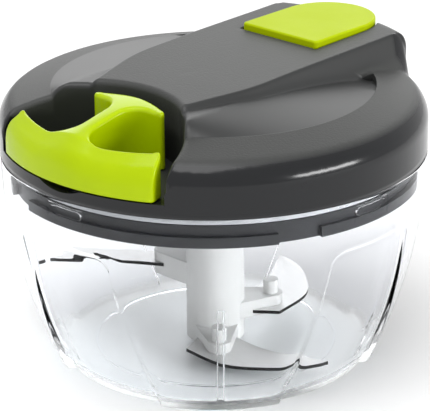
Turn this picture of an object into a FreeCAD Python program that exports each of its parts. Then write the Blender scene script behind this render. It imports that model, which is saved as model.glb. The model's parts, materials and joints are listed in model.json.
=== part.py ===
"""Pull-cord food chopper: clear bowl, turning three-blade hub, and a lid that holds the cord drive.

Frame: millimetres, +Z up, the bowl stands on z = 0 and its axis is Z.
The pull handle faces -Y. An azimuth is counted from -Y towards +X, anticlockwise from above.
"""

import FreeCAD, Part
import math
import os

from FreeCAD import Vector

# ---- clearances -------------------------------------------------------------------------------
running_fit = 0.05      # radial, between a shaft and the bore it turns in
body_gap = 0.3          # between faces that move past each other
bar_gap = 2.7           # beyond the ends of the pull handle's bar, in the lid's recess
block_gap = 4.6         # behind the pull handle, in the lid's recess

# ---- bowl -------------------------------------------------------------------------------------
rim_radius = 74.0       # outside, at the rim
rim_height = 76.0
side_curve = 168.0      # radius of the side wall's curve, seen from the side
bowl_wall = 2.4
bowl_floor = 3.0
base_round = 2.0        # radius of the lower outside edge
floor_step_radius = rim_radius - 32.0
floor_step = 0.5
side_count = 4          # grip panels, and lugs above them
panel_top = rim_height - 17.0
panel_top_half = 18.0   # half the panel's width at its top, before the corners are rounded
panel_foot_half = 22.8
panel_corner = 5.0
panel_depth_top = 0.8
panel_depth_foot = 3.0
rib_top = 42.0          # upright ribs inside the wall, between the panels
rib_width = 2.2
rib_depth = 1.6
lug_half_angle = 5.5
lug_low = rim_height - 6.7
lug_high = rim_height - 4.0
lug_depth = 1.8
pad_half_angle = 6.5    # thickened patch inside the wall, behind each lug
pad_low = rim_height - 9.2
pad_high = rim_height - 2.8
pin_radius = 3.0
pin_bottom = 1.0
pin_top = rim_height - 36.0
boss_radius = 7.0       # holds the pin, and stands inside the hub's foot
boss_top = 9.0

# ---- blade hub --------------------------------------------------------------------------------
hub_radius = 10.3
hub_bottom = 4.0
hub_top = rim_height - 10.0
hub_wall = 2.8
arm_azimuths = (47.0, 147.0, 283.0)
blade_azimuths = (25.0, 131.5, 276.0)    # where each blade's outline starts
blade_sweeps = (1.08, 1.0, 0.42)     # how far each blade bends round the axis
blade_heights = (6.0, 13.3, 28.0)
blade_gaps = (4.3, 3.4, 2.2)    # from each blade's tip to the bowl's panels
blade_thickness = 1.2
arm_length = 24.5
arm_end_radius = 4.2    # the arms taper from the hub to a round end
arm_root_radius = 9.0
arm_height = 3.6
arm_depths = (1.2, 1.2, 3.6)    # from each blade's underside down to its arm's
peg_arms = (0, 1)          # the arms that carry a peg
peg_radius = 2.65
peg_height = 5.0
peg_inset = 4.2         # from the arm's end to the peg's middle
claw_count = 3
claw_angle = 20.0       # width of one claw, in the hub and on the drive dog
claw_length = 10.0
dog_core = 4.2

# ---- lid --------------------------------------------------------------------------------------
lid_wall = 2.0
skirt_radius = rim_radius - bowl_wall - 0.8
skirt_bottom = rim_height - 10.6
skirt_wall = 3.4
entry_start = -29.4     # gap in the bayonet ring, from the lug that it lets in
entry_end = -17.0
unlock_turn = 23.2
plate_bottom = rim_height - 3.0     # underside of the plate that closes the lid
plate_thickness = 2.2
seal_height = 2.0
seal_clear = 1.3        # thickness of skirt between the lugs' groove and the seal's seat, with the gaps
seal_width = 2.0
wall_top = rim_height + 11.0         # where the lid's upright wall starts to round over
shoulder_radius = rim_radius - 3.8
shoulder_height = rim_height + 18.3
ring_radius = rim_radius - 18.0      # inner edge of the sloping ring on top
ring_height = rim_height + 22.0
dome_height = rim_height + 25.0
spine_half = 28.2       # raised band along the top
spine_front_half = 20.3
spine_taper = 28.2      # length over which the band narrows towards its front
spine_height = rim_height + 29.6
spine_front_height = rim_height + 26.9
spine_rear_round = 6.0
spine_proud = 1.2       # how far the band's rear end stands out from the lid's wall
recess_radius = 38.8    # round recess that the handle lies in
recess_centre = 4.0 - rim_radius
spine_setback = 7.0     # from the recess's rear wall, in the middle, to the band's front corners
recess_floor = rim_height + 5.0
nail_radius = 24.0      # wide scoop under the handle, for a fingertip
nail_half = 9.6
nail_depth = 2.0
boss_count = 4
lid_boss_radius = 3.6
lid_boss_ring = rim_radius - 14.0
flange_height = 1.6     # ledge on the lower plate that the cover's wall stands around
screw_radius = 1.5
screw_head_radius = 2.8
screw_head_height = 1.8
screw_length = 12.0

# ---- release key ------------------------------------------------------------------------------
key_half = 17.4
key_front = rim_radius - 40.5
key_rear_centre = rim_radius - 14.6
key_top = rim_height + 32.2
key_thickness = 2.8
key_corner = 1.5        # radius of the key's front corners, seen from above
key_edge = 0.8          # radius of its upper edge
key_gap = 0.6           # around the key, in its pocket
key_pocket_floor = rim_height + 23.6
key_pin_radius = 1.0
key_pin_inset = 3.4     # from the key's front edge back to its pin
key_ear_width = 3.0
key_spring_radius = 3.2
key_spring_wire = 0.4   # half the wire's width
key_spring_turns = 4
latch_half = 4.0
latch_thickness = 2.0

# ---- cord drive -------------------------------------------------------------------------------
cord_radius = 0.9
cord_height = rim_height + 13.0
cord_bend = 5.4         # of the cord's middle line, in the guide
spool_core = 14.0
spool_flange = 22.0
flange_thickness = 1.6
spool_width = 8.0       # between the flanges
winding_depth = 1.8     # one layer of cord
cord_lift = 0.05        # between the cord where it leaves and the turns under it
shaft_radius = 4.0
bush_wall = 2.0
spring_cup_radius = 25.0
cup_wall = 1.6
spring_height = 4.0
spring_strip = 0.5
spring_turns = 6
post_count = 3
post_radius = 2.6
post_ring = 25.6
post_azimuth = 60.0     # first post, clear of the cord
bridge_thickness = 2.4
guide_radius = 4.0
guide_flare = 3.5       # radius of the eyelet's inner end

# ---- pull handle ------------------------------------------------------------------------------
bar_thickness = 7.0
bar_clear = 0.3         # above the recess floor
block_depth = 6.2       # of the handle's inner block, in the middle
block_side = 2.2        # the same, at its ends
waist_half = 3.2
waist_round = 7.0
grip_round = 1.0
grip_height = rim_height + 21.0      # top of the handle, in the middle of the bar's inner edge
grip_slope = 0.155      # rise of its top per millimetre inwards
grip_fall = 0.0035      # fall of its top to the sides: this times x squared
crease_height = rim_height + 15.4    # where the bar's top rounds down to its outer face
crease_slope = 1.2
crease_fall = 0.009
knot_radius = 2.4

# ---- worked out from the above ----------------------------------------------------------------
plate_top = plate_bottom + plate_thickness
lid_bottom = rim_height + body_gap
recess_back = recess_centre + recess_radius
spine_front = recess_back - spine_setback
spine_bend = spine_front + spine_taper
nail_block_low = lid_bottom + flange_height + body_gap
key_pin_half = key_half + key_gap + lid_wall
spring_bottom = plate_top + body_gap
cup_top = spring_bottom + spring_height + body_gap
spool_bottom = cord_height - spool_width / 2 - flange_thickness
spool_top = cord_height + spool_width / 2 + flange_thickness
bridge_bottom = spool_top + 2 * body_gap
bridge_top = bridge_bottom + bridge_thickness
winding_radius = spool_core + winding_depth
lead_radius = winding_radius + cord_radius + cord_lift
bar_half_angle = math.degrees(math.asin((recess_radius - bar_gap) / rim_radius))
block_back_radius = recess_radius - block_gap
block_front = recess_back - block_gap - block_depth
block_corner = block_front + block_side - recess_centre
block_half = math.sqrt(block_back_radius ** 2 - block_corner ** 2)
chamber_radius = knot_radius + 0.2
step_angle = 360.0 / side_count


# ---- helpers ----------------------------------------------------------------------------------
def place(azimuth, radius, z=0.0):
    """Point at an azimuth and radius about the bowl's axis."""
    a = math.radians(azimuth)
    return Vector(radius * math.sin(a), -radius * math.cos(a), z)


def cylinder(radius, low, high, centre=(0.0, 0.0)):
    return Part.makeCylinder(radius, high - low, Vector(centre[0], centre[1], low))


def tube(outer, inner, low, high, centre=(0.0, 0.0)):
    """Ring with square edges."""
    return cylinder(outer, low, high, centre).cut(cylinder(inner, low - 1, high + 1, centre))


def box(x0, x1, y0, y1, z0, z1):
    return Part.makeBox(x1 - x0, y1 - y0, z1 - z0, Vector(x0, y0, z0))


def turned(points):
    """Solid of revolution about Z of a closed outline of (radius, z) points."""
    ring = [Vector(r, 0, z) for r, z in points]
    face = Part.Face(Part.makePolygon(ring + ring[:1]))
    return face.revolve(Vector(0, 0, 0), Vector(0, 0, 1), 360)


def turned_edges(edges):
    face = Part.Face(Part.Wire(Part.__sortEdges__(edges)))
    return face.revolve(Vector(0, 0, 0), Vector(0, 0, 1), 360)


def line(a, b):
    return Part.LineSegment(Vector(a[0], 0, a[1]), Vector(b[0], 0, b[1])).toShape()


def arc(a, b, c):
    """Arc in the XZ plane through three (radius, z) points."""
    return Part.Arc(*[Vector(r, 0, z) for r, z in (a, b, c)]).toShape()


def sector(azimuth, half_angle, inner, outer, low, high):
    """Part of a square-edged ring, centred on an azimuth."""
    a = place(azimuth - half_angle, inner, low)
    b = place(azimuth - half_angle, outer, low)
    up = Vector(0, 0, high - low)
    face = Part.Face(Part.makePolygon([a, b, b + up, a + up, a]))
    return face.revolve(Vector(0, 0, 0), Vector(0, 0, 1), 2 * half_angle)


def turn(shape, angle, centre=(0.0, 0.0)):
    copy = shape.copy()
    copy.rotate(Vector(centre[0], centre[1], 0), Vector(0, 0, 1), angle)
    return copy


def fuse(first, *rest):
    return first.multiFuse([shape for shape in rest]).removeSplitter()


def cut(first, *rest):
    for shape in rest:
        first = first.cut(shape)
    return first


def rounded(shape, radius, wanted):
    """Shape with the edges that wanted picks rounded."""
    return shape.makeFillet(radius, [edge for edge in shape.Edges if wanted(edge)])


def around(count, start=0.0):
    """Azimuths of count things spaced evenly."""
    return [start + k * 360.0 / count for k in range(count)]


def spots(count, start, ring):
    """(x, y) of count points spaced evenly on a circle."""
    return [tuple(place(azimuth, ring))[:2] for azimuth in around(count, start)]


def prism(points, low, high):
    """Upright solid of a closed outline of (x, y) points."""
    base = [Vector(x, y, low) for x, y in points]
    return Part.Face(Part.makePolygon(base + base[:1])).extrude(Vector(0, 0, high - low))


def profile_bar(points, half_width):
    """Solid of a closed outline of (y, z) points, drawn out along X to both sides."""
    base = [Vector(-half_width, y, z) for y, z in points]
    return Part.Face(Part.makePolygon(base + base[:1])).extrude(Vector(2 * half_width, 0, 0))


# ---- bowl -------------------------------------------------------------------------------------
def side_radius(z, inset=0.0):
    """Radius of the bowl's side curve at height z, moved inwards by inset."""
    return rim_radius - side_curve + math.sqrt((side_curve - inset) ** 2 - (rim_height - z) ** 2)


def side_body(inset, low, high, extra=0.0):
    """Solid bounded by the side curve between two heights, with a straight top of extra height."""
    middle = (low + high) / 2
    foot, belly, rim = [(side_radius(z, inset), z) for z in (low, middle, high)]
    top = (rim[0], high + extra)
    edges = [arc(foot, belly, rim), line((0, low), foot)]
    edges += [line((0, top[1]), (0, low)), line(top, (0, top[1]))]
    if extra:
        edges.append(line(rim, top))
    return turned_edges(edges)


def panel_depth(z):
    return panel_depth_top + (panel_depth_foot - panel_depth_top) * (panel_top - z) / panel_top


def panel_space(azimuth, inset):
    """What a grip panel takes off the round side, with the panel's surface moved inwards by inset."""
    low, high, reach = -1.0, panel_top + 1.0, rim_radius + 10

    def radius(z):
        return side_radius(z) - panel_depth(z) - inset

    middle = (low + high) / 2
    ring = turned_edges([
        arc((radius(low), low), (radius(middle), middle), (radius(high), high)),
        line((radius(low), low), (reach, low)),
        line((reach, low), (reach, high)),
        line((reach, high), (radius(high), high)),
    ])
    outline = [(-panel_foot_half, low), (panel_foot_half, low), (panel_top_half, panel_top),
               (-panel_top_half, panel_top)]
    front = [Vector(x, -reach, z) for x, z in outline]
    shutter = Part.Face(Part.makePolygon(front + front[:1])).extrude(Vector(0, reach, 0))
    top_corners = [e for e in shutter.Edges if e.BoundBox.YLength > 1 and e.BoundBox.ZMin > panel_top - 0.1]
    shutter = shutter.makeFillet(panel_corner, top_corners)
    return ring.common(turn(shutter, azimuth))


def make_bowl():
    outside = side_body(0.0, 0.0, rim_height)
    lower_edge = [e for e in outside.Edges if e.BoundBox.ZMax < 0.01 and e.BoundBox.XMax > floor_step_radius]
    outside = outside.makeFillet(base_round, lower_edge)
    inside = side_body(bowl_wall, bowl_floor, rim_height, 1.0)
    for azimuth in around(side_count):
        outside = outside.cut(panel_space(azimuth, 0.0))
        inside = inside.cut(panel_space(azimuth, bowl_wall))
    bowl = outside.cut(inside)
    ledge = tube(floor_step_radius + 1.0, floor_step_radius, bowl_floor - 0.5, bowl_floor + floor_step)
    additions = [ledge, cylinder(boss_radius, bowl_floor - 0.5, boss_top)]
    band = side_body(bowl_wall - 0.5, bowl_floor - 0.5, rib_top)
    band = band.cut(side_body(bowl_wall + rib_depth, 0, rib_top))
    for azimuth in around(side_count, step_angle / 2):
        slot = box(-rib_width / 2, rib_width / 2, -rim_radius, 0, 0, rib_top)
        additions.append(band.common(turn(slot, azimuth)))
    lug_back = rim_radius - bowl_wall + 0.5
    for azimuth in around(side_count):
        lug_face = rim_radius - bowl_wall - lug_depth
        additions.append(sector(azimuth, lug_half_angle, lug_face, lug_back, lug_low, lug_high))
        pad_face = skirt_radius + body_gap
        additions.append(sector(azimuth, pad_half_angle, pad_face, lug_back, pad_low, pad_high))
    return cut(fuse(bowl, *additions), cylinder(pin_radius, pin_bottom, boss_top + 1))


def make_blade_pin():
    body = cylinder(pin_radius, pin_bottom, pin_top - pin_radius)
    return fuse(body, Part.makeSphere(pin_radius, Vector(0, 0, pin_top - pin_radius)))


# ---- blades and hub ---------------------------------------------------------------------------
def blade_outline(reach, sweep):
    """Sickle outline about the arm's azimuth: leading edge, then trailing edge, as (angle, radius)."""
    leading = [(-9, 21.8), (7.5, 26.1), (23.7, 33.3), (36.4, 37.6), (47, 42.1), (53.4, 44.9), (65, 49.0)]
    trailing = [(65, 49.0), (60.5, 38.1), (54.5, 27.5), (51, 16.5), (50, 11.0)]
    stretch = (reach - hub_radius) / (49.0 - hub_radius)

    def stretched(edge):
        return [(a * sweep, hub_radius + (r - hub_radius) * stretch) for a, r in edge]

    return stretched(leading), stretched(trailing)


def blade_reach(index):
    height = blade_heights[index]
    return side_radius(height, bowl_wall) - panel_depth(height) - blade_gaps[index]


def make_blade(index):
    azimuth, low = blade_azimuths[index], blade_heights[index] - blade_thickness / 2
    leading, trailing = blade_outline(blade_reach(index), blade_sweeps[index])
    edges = []
    for edge in (leading, trailing):
        curve = Part.BSplineCurve()
        curve.interpolate([place(azimuth + a, r, low) for a, r in edge])
        edges.append(curve.toShape())
    heel = place(azimuth + leading[0][0], leading[0][1], low)
    throat = place(azimuth + trailing[-1][0], trailing[-1][1], low)
    root = place(azimuth + leading[0][0] - 8, boss_radius + 1.4, low)
    root_far = place(azimuth + trailing[-1][0], boss_radius + 1.4, low)
    corners = [throat, root_far, root, heel]
    edges += [Part.LineSegment(a, b).toShape() for a, b in zip(corners, corners[1:])]
    face = Part.Face(Part.Wire(Part.__sortEdges__(edges)))
    blade = face.extrude(Vector(0, 0, blade_thickness))
    return blade.cut(cylinder(boss_radius + 1.2, 0, rim_height))


def make_arm(low, high):
    """Arm towards -Y, with sides that touch its root circle and its end circle."""
    reach = arm_length - arm_end_radius
    lean = math.asin((arm_root_radius - arm_end_radius) / reach)
    across, along = math.cos(lean), math.sin(lean)
    root = (arm_root_radius * across, -arm_root_radius * along)
    end = (arm_end_radius * across, -reach - arm_end_radius * along)
    points = [(-root[0], root[1]), (-end[0], end[1]), end, root, (0, arm_root_radius / 2)]
    return fuse(prism(points, low, high), cylinder(arm_end_radius, low, high, (0, -reach)))


def make_hub(blades):
    hub = cylinder(hub_radius, hub_bottom, hub_top)
    arms = []
    for index, (azimuth, height) in enumerate(zip(arm_azimuths, blade_heights)):
        low = max(hub_bottom, height - blade_thickness / 2 - arm_depths[index])
        high = height + blade_thickness / 2 + arm_height
        arm = make_arm(low, high)
        if index in peg_arms:
            arm = arm.fuse(cylinder(peg_radius, high - 0.5, high + peg_height, (0, peg_inset - arm_length)))
        arms.append(turn(arm, azimuth))
    hub = fuse(hub, *arms)
    socket_low = hub_top - claw_length - 2
    hub = cut(hub,
              cylinder(boss_radius + 2 * body_gap, 0, boss_top + 2 * body_gap),
              cylinder(pin_radius + running_fit, 0, pin_top + 1),
              cylinder(hub_radius - hub_wall, pin_top + 4, hub_top + 1))
    claw_inner, claw_outer = dog_core + 2 * body_gap, hub_radius - hub_wall + 0.3
    claws = [sector(azimuth, claw_angle / 2, claw_inner, claw_outer, socket_low, hub_top)
             for azimuth in around(claw_count, 60)]
    return cut(fuse(hub, *claws), *blades)


# ---- lid: lower plate with the bayonet skirt ----------------------------------------------------
def make_lid_base():
    inner = skirt_radius - skirt_wall
    groove_radius = rim_radius - bowl_wall - lug_depth - 2 * body_gap
    groove_low, groove_high = lug_low - body_gap, lug_high + body_gap
    skirt = tube(skirt_radius, inner, skirt_bottom, plate_top)
    skirt = skirt.cut(tube(rim_radius, groove_radius, groove_low, groove_high))
    middle, half = (entry_start + entry_end) / 2, (entry_end - entry_start) / 2
    for azimuth in around(side_count, middle):
        gap = sector(azimuth, half, groove_radius, rim_radius, skirt_bottom - 1, groove_low + 1)
        skirt = skirt.cut(gap)
    seal_low = lug_high + body_gap + seal_clear
    seat_radius = rim_radius - bowl_wall - body_gap - seal_width - body_gap
    seat = tube(rim_radius, seat_radius, seal_low - body_gap, seal_low + seal_height + body_gap)
    plate = cylinder(inner + 0.2, plate_bottom, plate_top)
    neck = tube(skirt_radius, inner - 2, plate_top - 0.5, lid_bottom + 0.5)
    flange = tube(rim_radius - lid_wall - 0.2, inner - 2, lid_bottom, lid_bottom + flange_height)
    cup = tube(spring_cup_radius, spring_cup_radius - cup_wall, plate_top - 0.5, cup_top)
    post_spots = spots(post_count, post_azimuth, post_ring)
    posts = [cylinder(post_radius, plate_top - 0.5, bridge_bottom, spot) for spot in post_spots]
    pads = [cylinder(lid_boss_radius, plate_top - 0.5, lid_bottom, spot)
            for spot in spots(boss_count, 45, lid_boss_ring)]
    base = cut(fuse(skirt, plate, neck, flange), seat)
    base = fuse(base, cup, *posts, *pads)
    holes = [cylinder(screw_radius, bridge_top - screw_length - 1, bridge_top, spot) for spot in post_spots]
    for spot in spots(boss_count, 45, lid_boss_ring):
        holes.append(cylinder(screw_radius, skirt_bottom, lid_bottom + 3, spot))
        holes.append(cylinder(screw_head_radius + 0.2, skirt_bottom, plate_bottom + 0.6, spot))
    return cut(base, cylinder(shaft_radius + bush_wall, 60, plate_top + 1), latch_slot(60), *holes)


def latch_slot(low):
    """Slot that the key's leg hangs and swings in."""
    return box(-latch_half - 1, latch_half + 1, latch_y() - 3, latch_y() + latch_thickness + 1, low, 200)


def make_seal_ring():
    outer = rim_radius - bowl_wall - body_gap
    low = lug_high + body_gap + seal_clear
    inner = outer - seal_width
    middle = low + seal_height / 2
    return turned([(inner, low), (outer - 0.6, low), (outer, middle), (outer - 0.6, low + seal_height),
                   (inner, low + seal_height)])


# ---- lid: upper cover ---------------------------------------------------------------------------
def dome(inset):
    """Round part of the cover, moved inwards by inset."""
    wall = rim_radius - inset
    round_mid = (rim_radius - 1.4 - inset, wall_top + 4.5 - inset)
    shoulder = (shoulder_radius - inset, shoulder_height - inset)
    edges = [
        line((0, lid_bottom), (wall, lid_bottom)),
        line((wall, lid_bottom), (wall, wall_top - inset)),
        arc((wall, wall_top - inset), round_mid, shoulder),
        line(shoulder, (ring_radius, ring_height - inset)),
        line((ring_radius, ring_height - inset), (spine_half, dome_height - inset)),
        line((spine_half, dome_height - inset), (0, dome_height - inset)),
        line((0, dome_height - inset), (0, lid_bottom)),
    ]
    return turned_edges(edges)


def spine(inset):
    """Raised band from the recess to the rear, moved inwards by inset."""
    half, front_half = spine_half - inset, spine_front_half - inset
    front = spine_front - recess_radius / 2
    back = rim_radius + spine_proud
    points = [(-half, spine_bend), (-front_half, spine_front), (-front_half, front), (front_half, front),
              (front_half, spine_front), (half, spine_bend), (half, back), (-half, back)]
    band = prism(points, plate_top + 3, spine_height + 5)
    wall, proud = rim_radius - inset, rim_radius + spine_proud - inset
    top = spine_height - inset
    band = band.common(turned([(0, plate_top), (wall, plate_top), (wall, wall_top - 3),
                               (proud, wall_top + 2), (proud, top + 9), (0, top + 9)]))
    rear = proud - spine_rear_round
    side = [(front, plate_top), (proud, plate_top), (proud, wall_top + 9), (proud - 1.5, top - 4),
            (rear, top), (spine_bend, top - 0.4), (spine_front, spine_front_height - inset),
            (front, spine_front_height - inset - 3)]
    return band.common(profile_bar(side, rim_radius))


def key_outline(grow, low, high=200.0):
    """Upright solid of the key's plan: straight front and sides, and a round rear."""
    half = key_half + grow
    body = box(-half, half, key_front - grow, key_rear_centre, low, high)
    return fuse(body, cylinder(half, low, high, (0, key_rear_centre)))


def key_pin_place():
    return key_front + key_pin_inset, key_top - key_thickness - key_pin_radius - 0.8


def latch_y():
    """Inner face of the latch leg that hangs from the key."""
    return skirt_radius - skirt_wall - latch_thickness - 1.2


def make_lid_cover():
    shell = fuse(dome(0.0), spine(0.0))
    hollow = fuse(dome(lid_wall), spine(lid_wall))
    hollow = fuse(hollow, cylinder(rim_radius - lid_wall, lid_bottom - 1, lid_bottom + 2))
    recess_wall = cylinder(recess_radius + lid_wall, recess_floor - lid_wall, 200, (0, recess_centre))
    nail_edge = nail_half + 2
    nail_block = box(-nail_edge, nail_edge, -rim_radius, 10 - rim_radius, nail_block_low, recess_floor)
    pocket_wall = key_outline(key_gap + lid_wall, key_pocket_floor - lid_wall)
    hollow = cut(hollow, recess_wall, nail_block, pocket_wall)
    cover = cut(shell, hollow)
    recess = cylinder(recess_radius, recess_floor, 200, (0, recess_centre))
    pocket = key_outline(key_gap, key_pocket_floor)
    nail_middle = Vector(0, -rim_radius - 1, recess_floor + nail_radius - nail_depth)
    nail = Part.makeCylinder(nail_radius, 8, nail_middle, Vector(0, 1, 0))
    cover = cut(cover, recess, pocket, nail)
    guide = Part.makeCylinder(guide_radius, 8, Vector(0, recess_back - 3, cord_height), Vector(0, 1, 0))
    bosses, holes = [], []
    for spot in spots(boss_count, 45, lid_boss_ring):
        bosses.append(cylinder(lid_boss_radius, lid_bottom, ring_height, spot))
        holes.append(cylinder(screw_radius, lid_bottom, lid_bottom + screw_length, spot))
    bosses = [b.common(dome(0.5)) for b in bosses]
    cover = cut(cover, guide, make_key_pin(), latch_slot(lid_bottom))
    return cut(fuse(cover, *bosses), *holes)


def make_screws(spots, seat, direction):
    """One group of pan-head screws, heads at height seat, shanks pointing along direction (+1 up)."""
    group = []
    for x, y in spots:
        start, way = Vector(x, y, seat), Vector(0, 0, direction)
        shank = Part.makeCylinder(screw_radius, screw_length, start, way)
        head = Part.makeCylinder(screw_head_radius, screw_head_height, start, way * -1)
        drive = Part.makeCylinder(0.9, 1.0, start - way * screw_head_height, way)
        group.append(cut(fuse(shank, head), drive))
    return Part.makeCompound(group)


# ---- release key --------------------------------------------------------------------------------
def make_release_key():
    low = key_top - key_thickness
    plate = key_outline(0.0, low, key_top)
    plate = rounded(plate, key_corner, lambda e: e.BoundBox.ZLength > 1 and e.BoundBox.YMax < key_front + 1)
    plate = rounded(plate, key_edge, lambda e: e.BoundBox.ZMin > key_top - 0.01)
    pin_y, pin_z = key_pin_place()
    ears = []
    for side in (-1, 1):
        x, half = side * (key_half - 3.0), key_ear_width / 2
        ears.append(box(x - half, x + half, key_front + 0.8, pin_y + 3, pin_z - 2, low + 0.5))
    leg = box(-latch_half, latch_half, latch_y(), latch_y() + latch_thickness, lug_high + 1.4, low + 0.5)
    key = fuse(plate, leg, *ears)
    hole = Part.makeCylinder(key_pin_radius + running_fit, 100, Vector(-50, pin_y, pin_z), Vector(1, 0, 0))
    return key.cut(hole)


def make_key_pin():
    pin_y, pin_z = key_pin_place()
    start = Vector(-key_pin_half, pin_y, pin_z)
    return Part.makeCylinder(key_pin_radius, 2 * key_pin_half, start, Vector(1, 0, 0))


def coil(radius, half_wire, low, high, turns, centre):
    """Compression spring of square wire."""
    pitch = (high - low - 2 * half_wire) / turns
    helix = Part.makeHelix(pitch, pitch * turns, radius)
    inner, outer = radius - half_wire, radius + half_wire
    corners = [(inner, -half_wire), (outer, -half_wire), (outer, half_wire), (inner, half_wire)]
    section = [Vector(x, 0, z) for x, z in corners]
    spring = Part.Wire(helix).makePipeShell([Part.makePolygon(section + section[:1])], True, True)
    spring.translate(Vector(centre[0], centre[1], low + half_wire))
    return spring


def make_key_spring():
    low, high = key_pocket_floor + 0.1, key_top - key_thickness - 0.1
    return coil(key_spring_radius, key_spring_wire, low, high, key_spring_turns, (0, key_rear_centre - 8))


# ---- cord drive ---------------------------------------------------------------------------------
def make_spool():
    """Spool with its shaft, in one piece."""
    barrel = cylinder(spool_core, spool_bottom, spool_top)
    lower = cylinder(spool_flange, spool_bottom, spool_bottom + flange_thickness)
    upper = cylinder(spool_flange, spool_top - flange_thickness, spool_top)
    shaft = cylinder(shaft_radius, plate_bottom - 2, bridge_top)
    arbor = cylinder(shaft_radius + 1.5, spring_bottom + body_gap, spool_bottom + 1)
    spool = fuse(barrel, lower, upper, shaft, arbor)
    lightening = [cylinder(2.6, spool_bottom - 1, spool_top + 1, spot) for spot in spots(6, 0, 9.4)]
    screw_hole = cylinder(screw_radius, plate_bottom - 3, plate_bottom + screw_length)
    return cut(spool, screw_hole, *lightening)


def make_cord_winding():
    return tube(winding_radius, spool_core, cord_height - spool_width / 2, cord_height + spool_width / 2)


def make_drive_dog():
    high, low = plate_bottom - 0.4, hub_top - claw_length
    shaft_end = plate_bottom - 2
    core = cylinder(dog_core, low, high)
    disc = cylinder(hub_radius - 1.5, hub_top + 2 * body_gap + 0.6, shaft_end)
    claws = [sector(a, claw_angle / 2, dog_core - 0.3, hub_radius - hub_wall - 2 * body_gap, low, shaft_end)
             for a in around(claw_count)]
    dog = fuse(core, disc, *claws)
    socket = cylinder(shaft_radius, shaft_end, high + 1)
    screw_hole = cylinder(screw_radius, low - 1, high + 1)
    return cut(dog, socket, screw_hole, cylinder(screw_head_radius + 0.1, low - 1, low + 2.5))


def make_dog_screw():
    seat = hub_top - claw_length + 2.5
    shank = cylinder(screw_radius, seat, plate_bottom + 6)
    return fuse(shank, cylinder(screw_head_radius, seat - screw_head_height, seat))


def make_spool_bush():
    outer = shaft_radius + bush_wall
    body = tube(outer, shaft_radius + running_fit, plate_bottom, plate_top)
    return body


def make_spring_cover():
    disc = cylinder(spring_cup_radius, cup_top, cup_top + 1.2)
    post_spots = spots(post_count, post_azimuth, post_ring)
    posts = [cylinder(post_radius + 0.2, 0, 200, spot) for spot in post_spots]
    return cut(disc, cylinder(shaft_radius + 1.5 + 2 * body_gap, 0, 200), *posts)


def make_return_spring():
    """Flat strip wound in a spiral, from the spool's arbor out to the cup."""
    start, end = shaft_radius + 1.5 + 0.3, spring_cup_radius - cup_wall - spring_strip - 0.2
    steps = 16 * spring_turns
    sides = []
    for offset in (0.0, spring_strip):
        points = []
        for k in range(steps + 1):
            share = k / steps
            radius = start + (end - start) * share + offset
            points.append(place(360.0 * spring_turns * share, radius, spring_bottom))
        curve = Part.BSplineCurve()
        curve.interpolate(points)
        sides.append(curve.toShape())
    inner, outer = sides
    ends = [Part.LineSegment(inner.Vertexes[i].Point, outer.Vertexes[i].Point).toShape() for i in (0, 1)]
    face = Part.Face(Part.Wire(Part.__sortEdges__([inner, outer] + ends)))
    return face.extrude(Vector(0, 0, spring_height))


def make_spool_bridge():
    """Three-armed plate on the posts, with the shaft's upper bearing."""
    low, high, half = bridge_bottom, bridge_top, post_radius + 0.8
    plate = cylinder(shaft_radius + 5, low, high)
    arm = fuse(box(-half, half, -post_ring, 0, low, high), cylinder(half, low, high, (0, -post_ring)))
    arms = [turn(arm, azimuth) for azimuth in around(post_count, post_azimuth)]
    holes = [cylinder(screw_radius, 0, 200, spot) for spot in spots(post_count, post_azimuth, post_ring)]
    return cut(fuse(plate, *arms), cylinder(shaft_radius + running_fit, 0, 200), *holes)


def bush_along_y(points):
    """Solid of revolution about the cord's line through the guide, from (radius, y) points."""
    ring = [Vector(r, y, cord_height) for r, y in points]
    face = Part.Face(Part.makePolygon(ring + ring[:1]))
    return face.revolve(Vector(0, 0, cord_height), Vector(0, 1, 0), 360)


def make_cord_guide():
    """Flanged eyelet in the recess's rear wall, with a bore that flares towards the spool."""
    bore = cord_radius + body_gap + 0.1
    front, wall_back = recess_back - 0.6, recess_back + lid_wall + 0.2
    back = wall_back + 0.9
    return bush_along_y([(bore, front), (guide_radius, front), (guide_radius, wall_back),
                         (guide_radius + 1.2, wall_back), (guide_radius + 1.2, back), (guide_flare, back),
                         (bore, front + 0.8)])


def knot_y():
    return block_front + 1.0


def cord_points():
    """Where the cord leaves the winding, its bend in the guide, and the knot."""
    bend = Vector(0, recess_back + 0.6, cord_height)
    swing = math.degrees(math.acos(lead_radius / abs(bend.y)))
    return place(swing, lead_radius, cord_height), bend, Vector(0, knot_y(), cord_height)


def make_pull_cord():
    """Cord from the winding through the guide to the knot: straight, a small arc in the guide, straight."""
    leave, corner, knot = cord_points()
    first, second = (corner - leave).normalize(), (knot - corner).normalize()
    turn_angle = first.getAngle(second)
    radius = cord_bend
    back = radius * math.tan(turn_angle / 2)
    a, b = corner - first * back, corner + second * back
    bisector = (second - first).normalize()
    middle = corner + bisector * (radius / math.cos(turn_angle / 2) - radius)
    path = Part.Wire([Part.LineSegment(leave, a).toShape(), Part.Arc(a, middle, b).toShape(),
                      Part.LineSegment(b, knot).toShape()])
    ring = Part.Wire(Part.makeCircle(cord_radius, leave, first))
    return path.makePipeShell([ring], True, False)


# ---- pull handle --------------------------------------------------------------------------------
def finger_space(low, high):
    """Space on the +X side of the waist, rounded where it meets the waist."""
    front, back = bar_thickness - rim_radius, block_front
    space = box(waist_half, rim_radius, front - bar_thickness, back, low, high)
    space = space.cut(tube(rim_radius + 9, -front, low - 1, high + 1))
    edges = [e for e in space.Edges if e.BoundBox.XMax < waist_half + 0.01 and e.BoundBox.ZLength > 1]
    return space.makeFillet(waist_round, edges)


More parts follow.
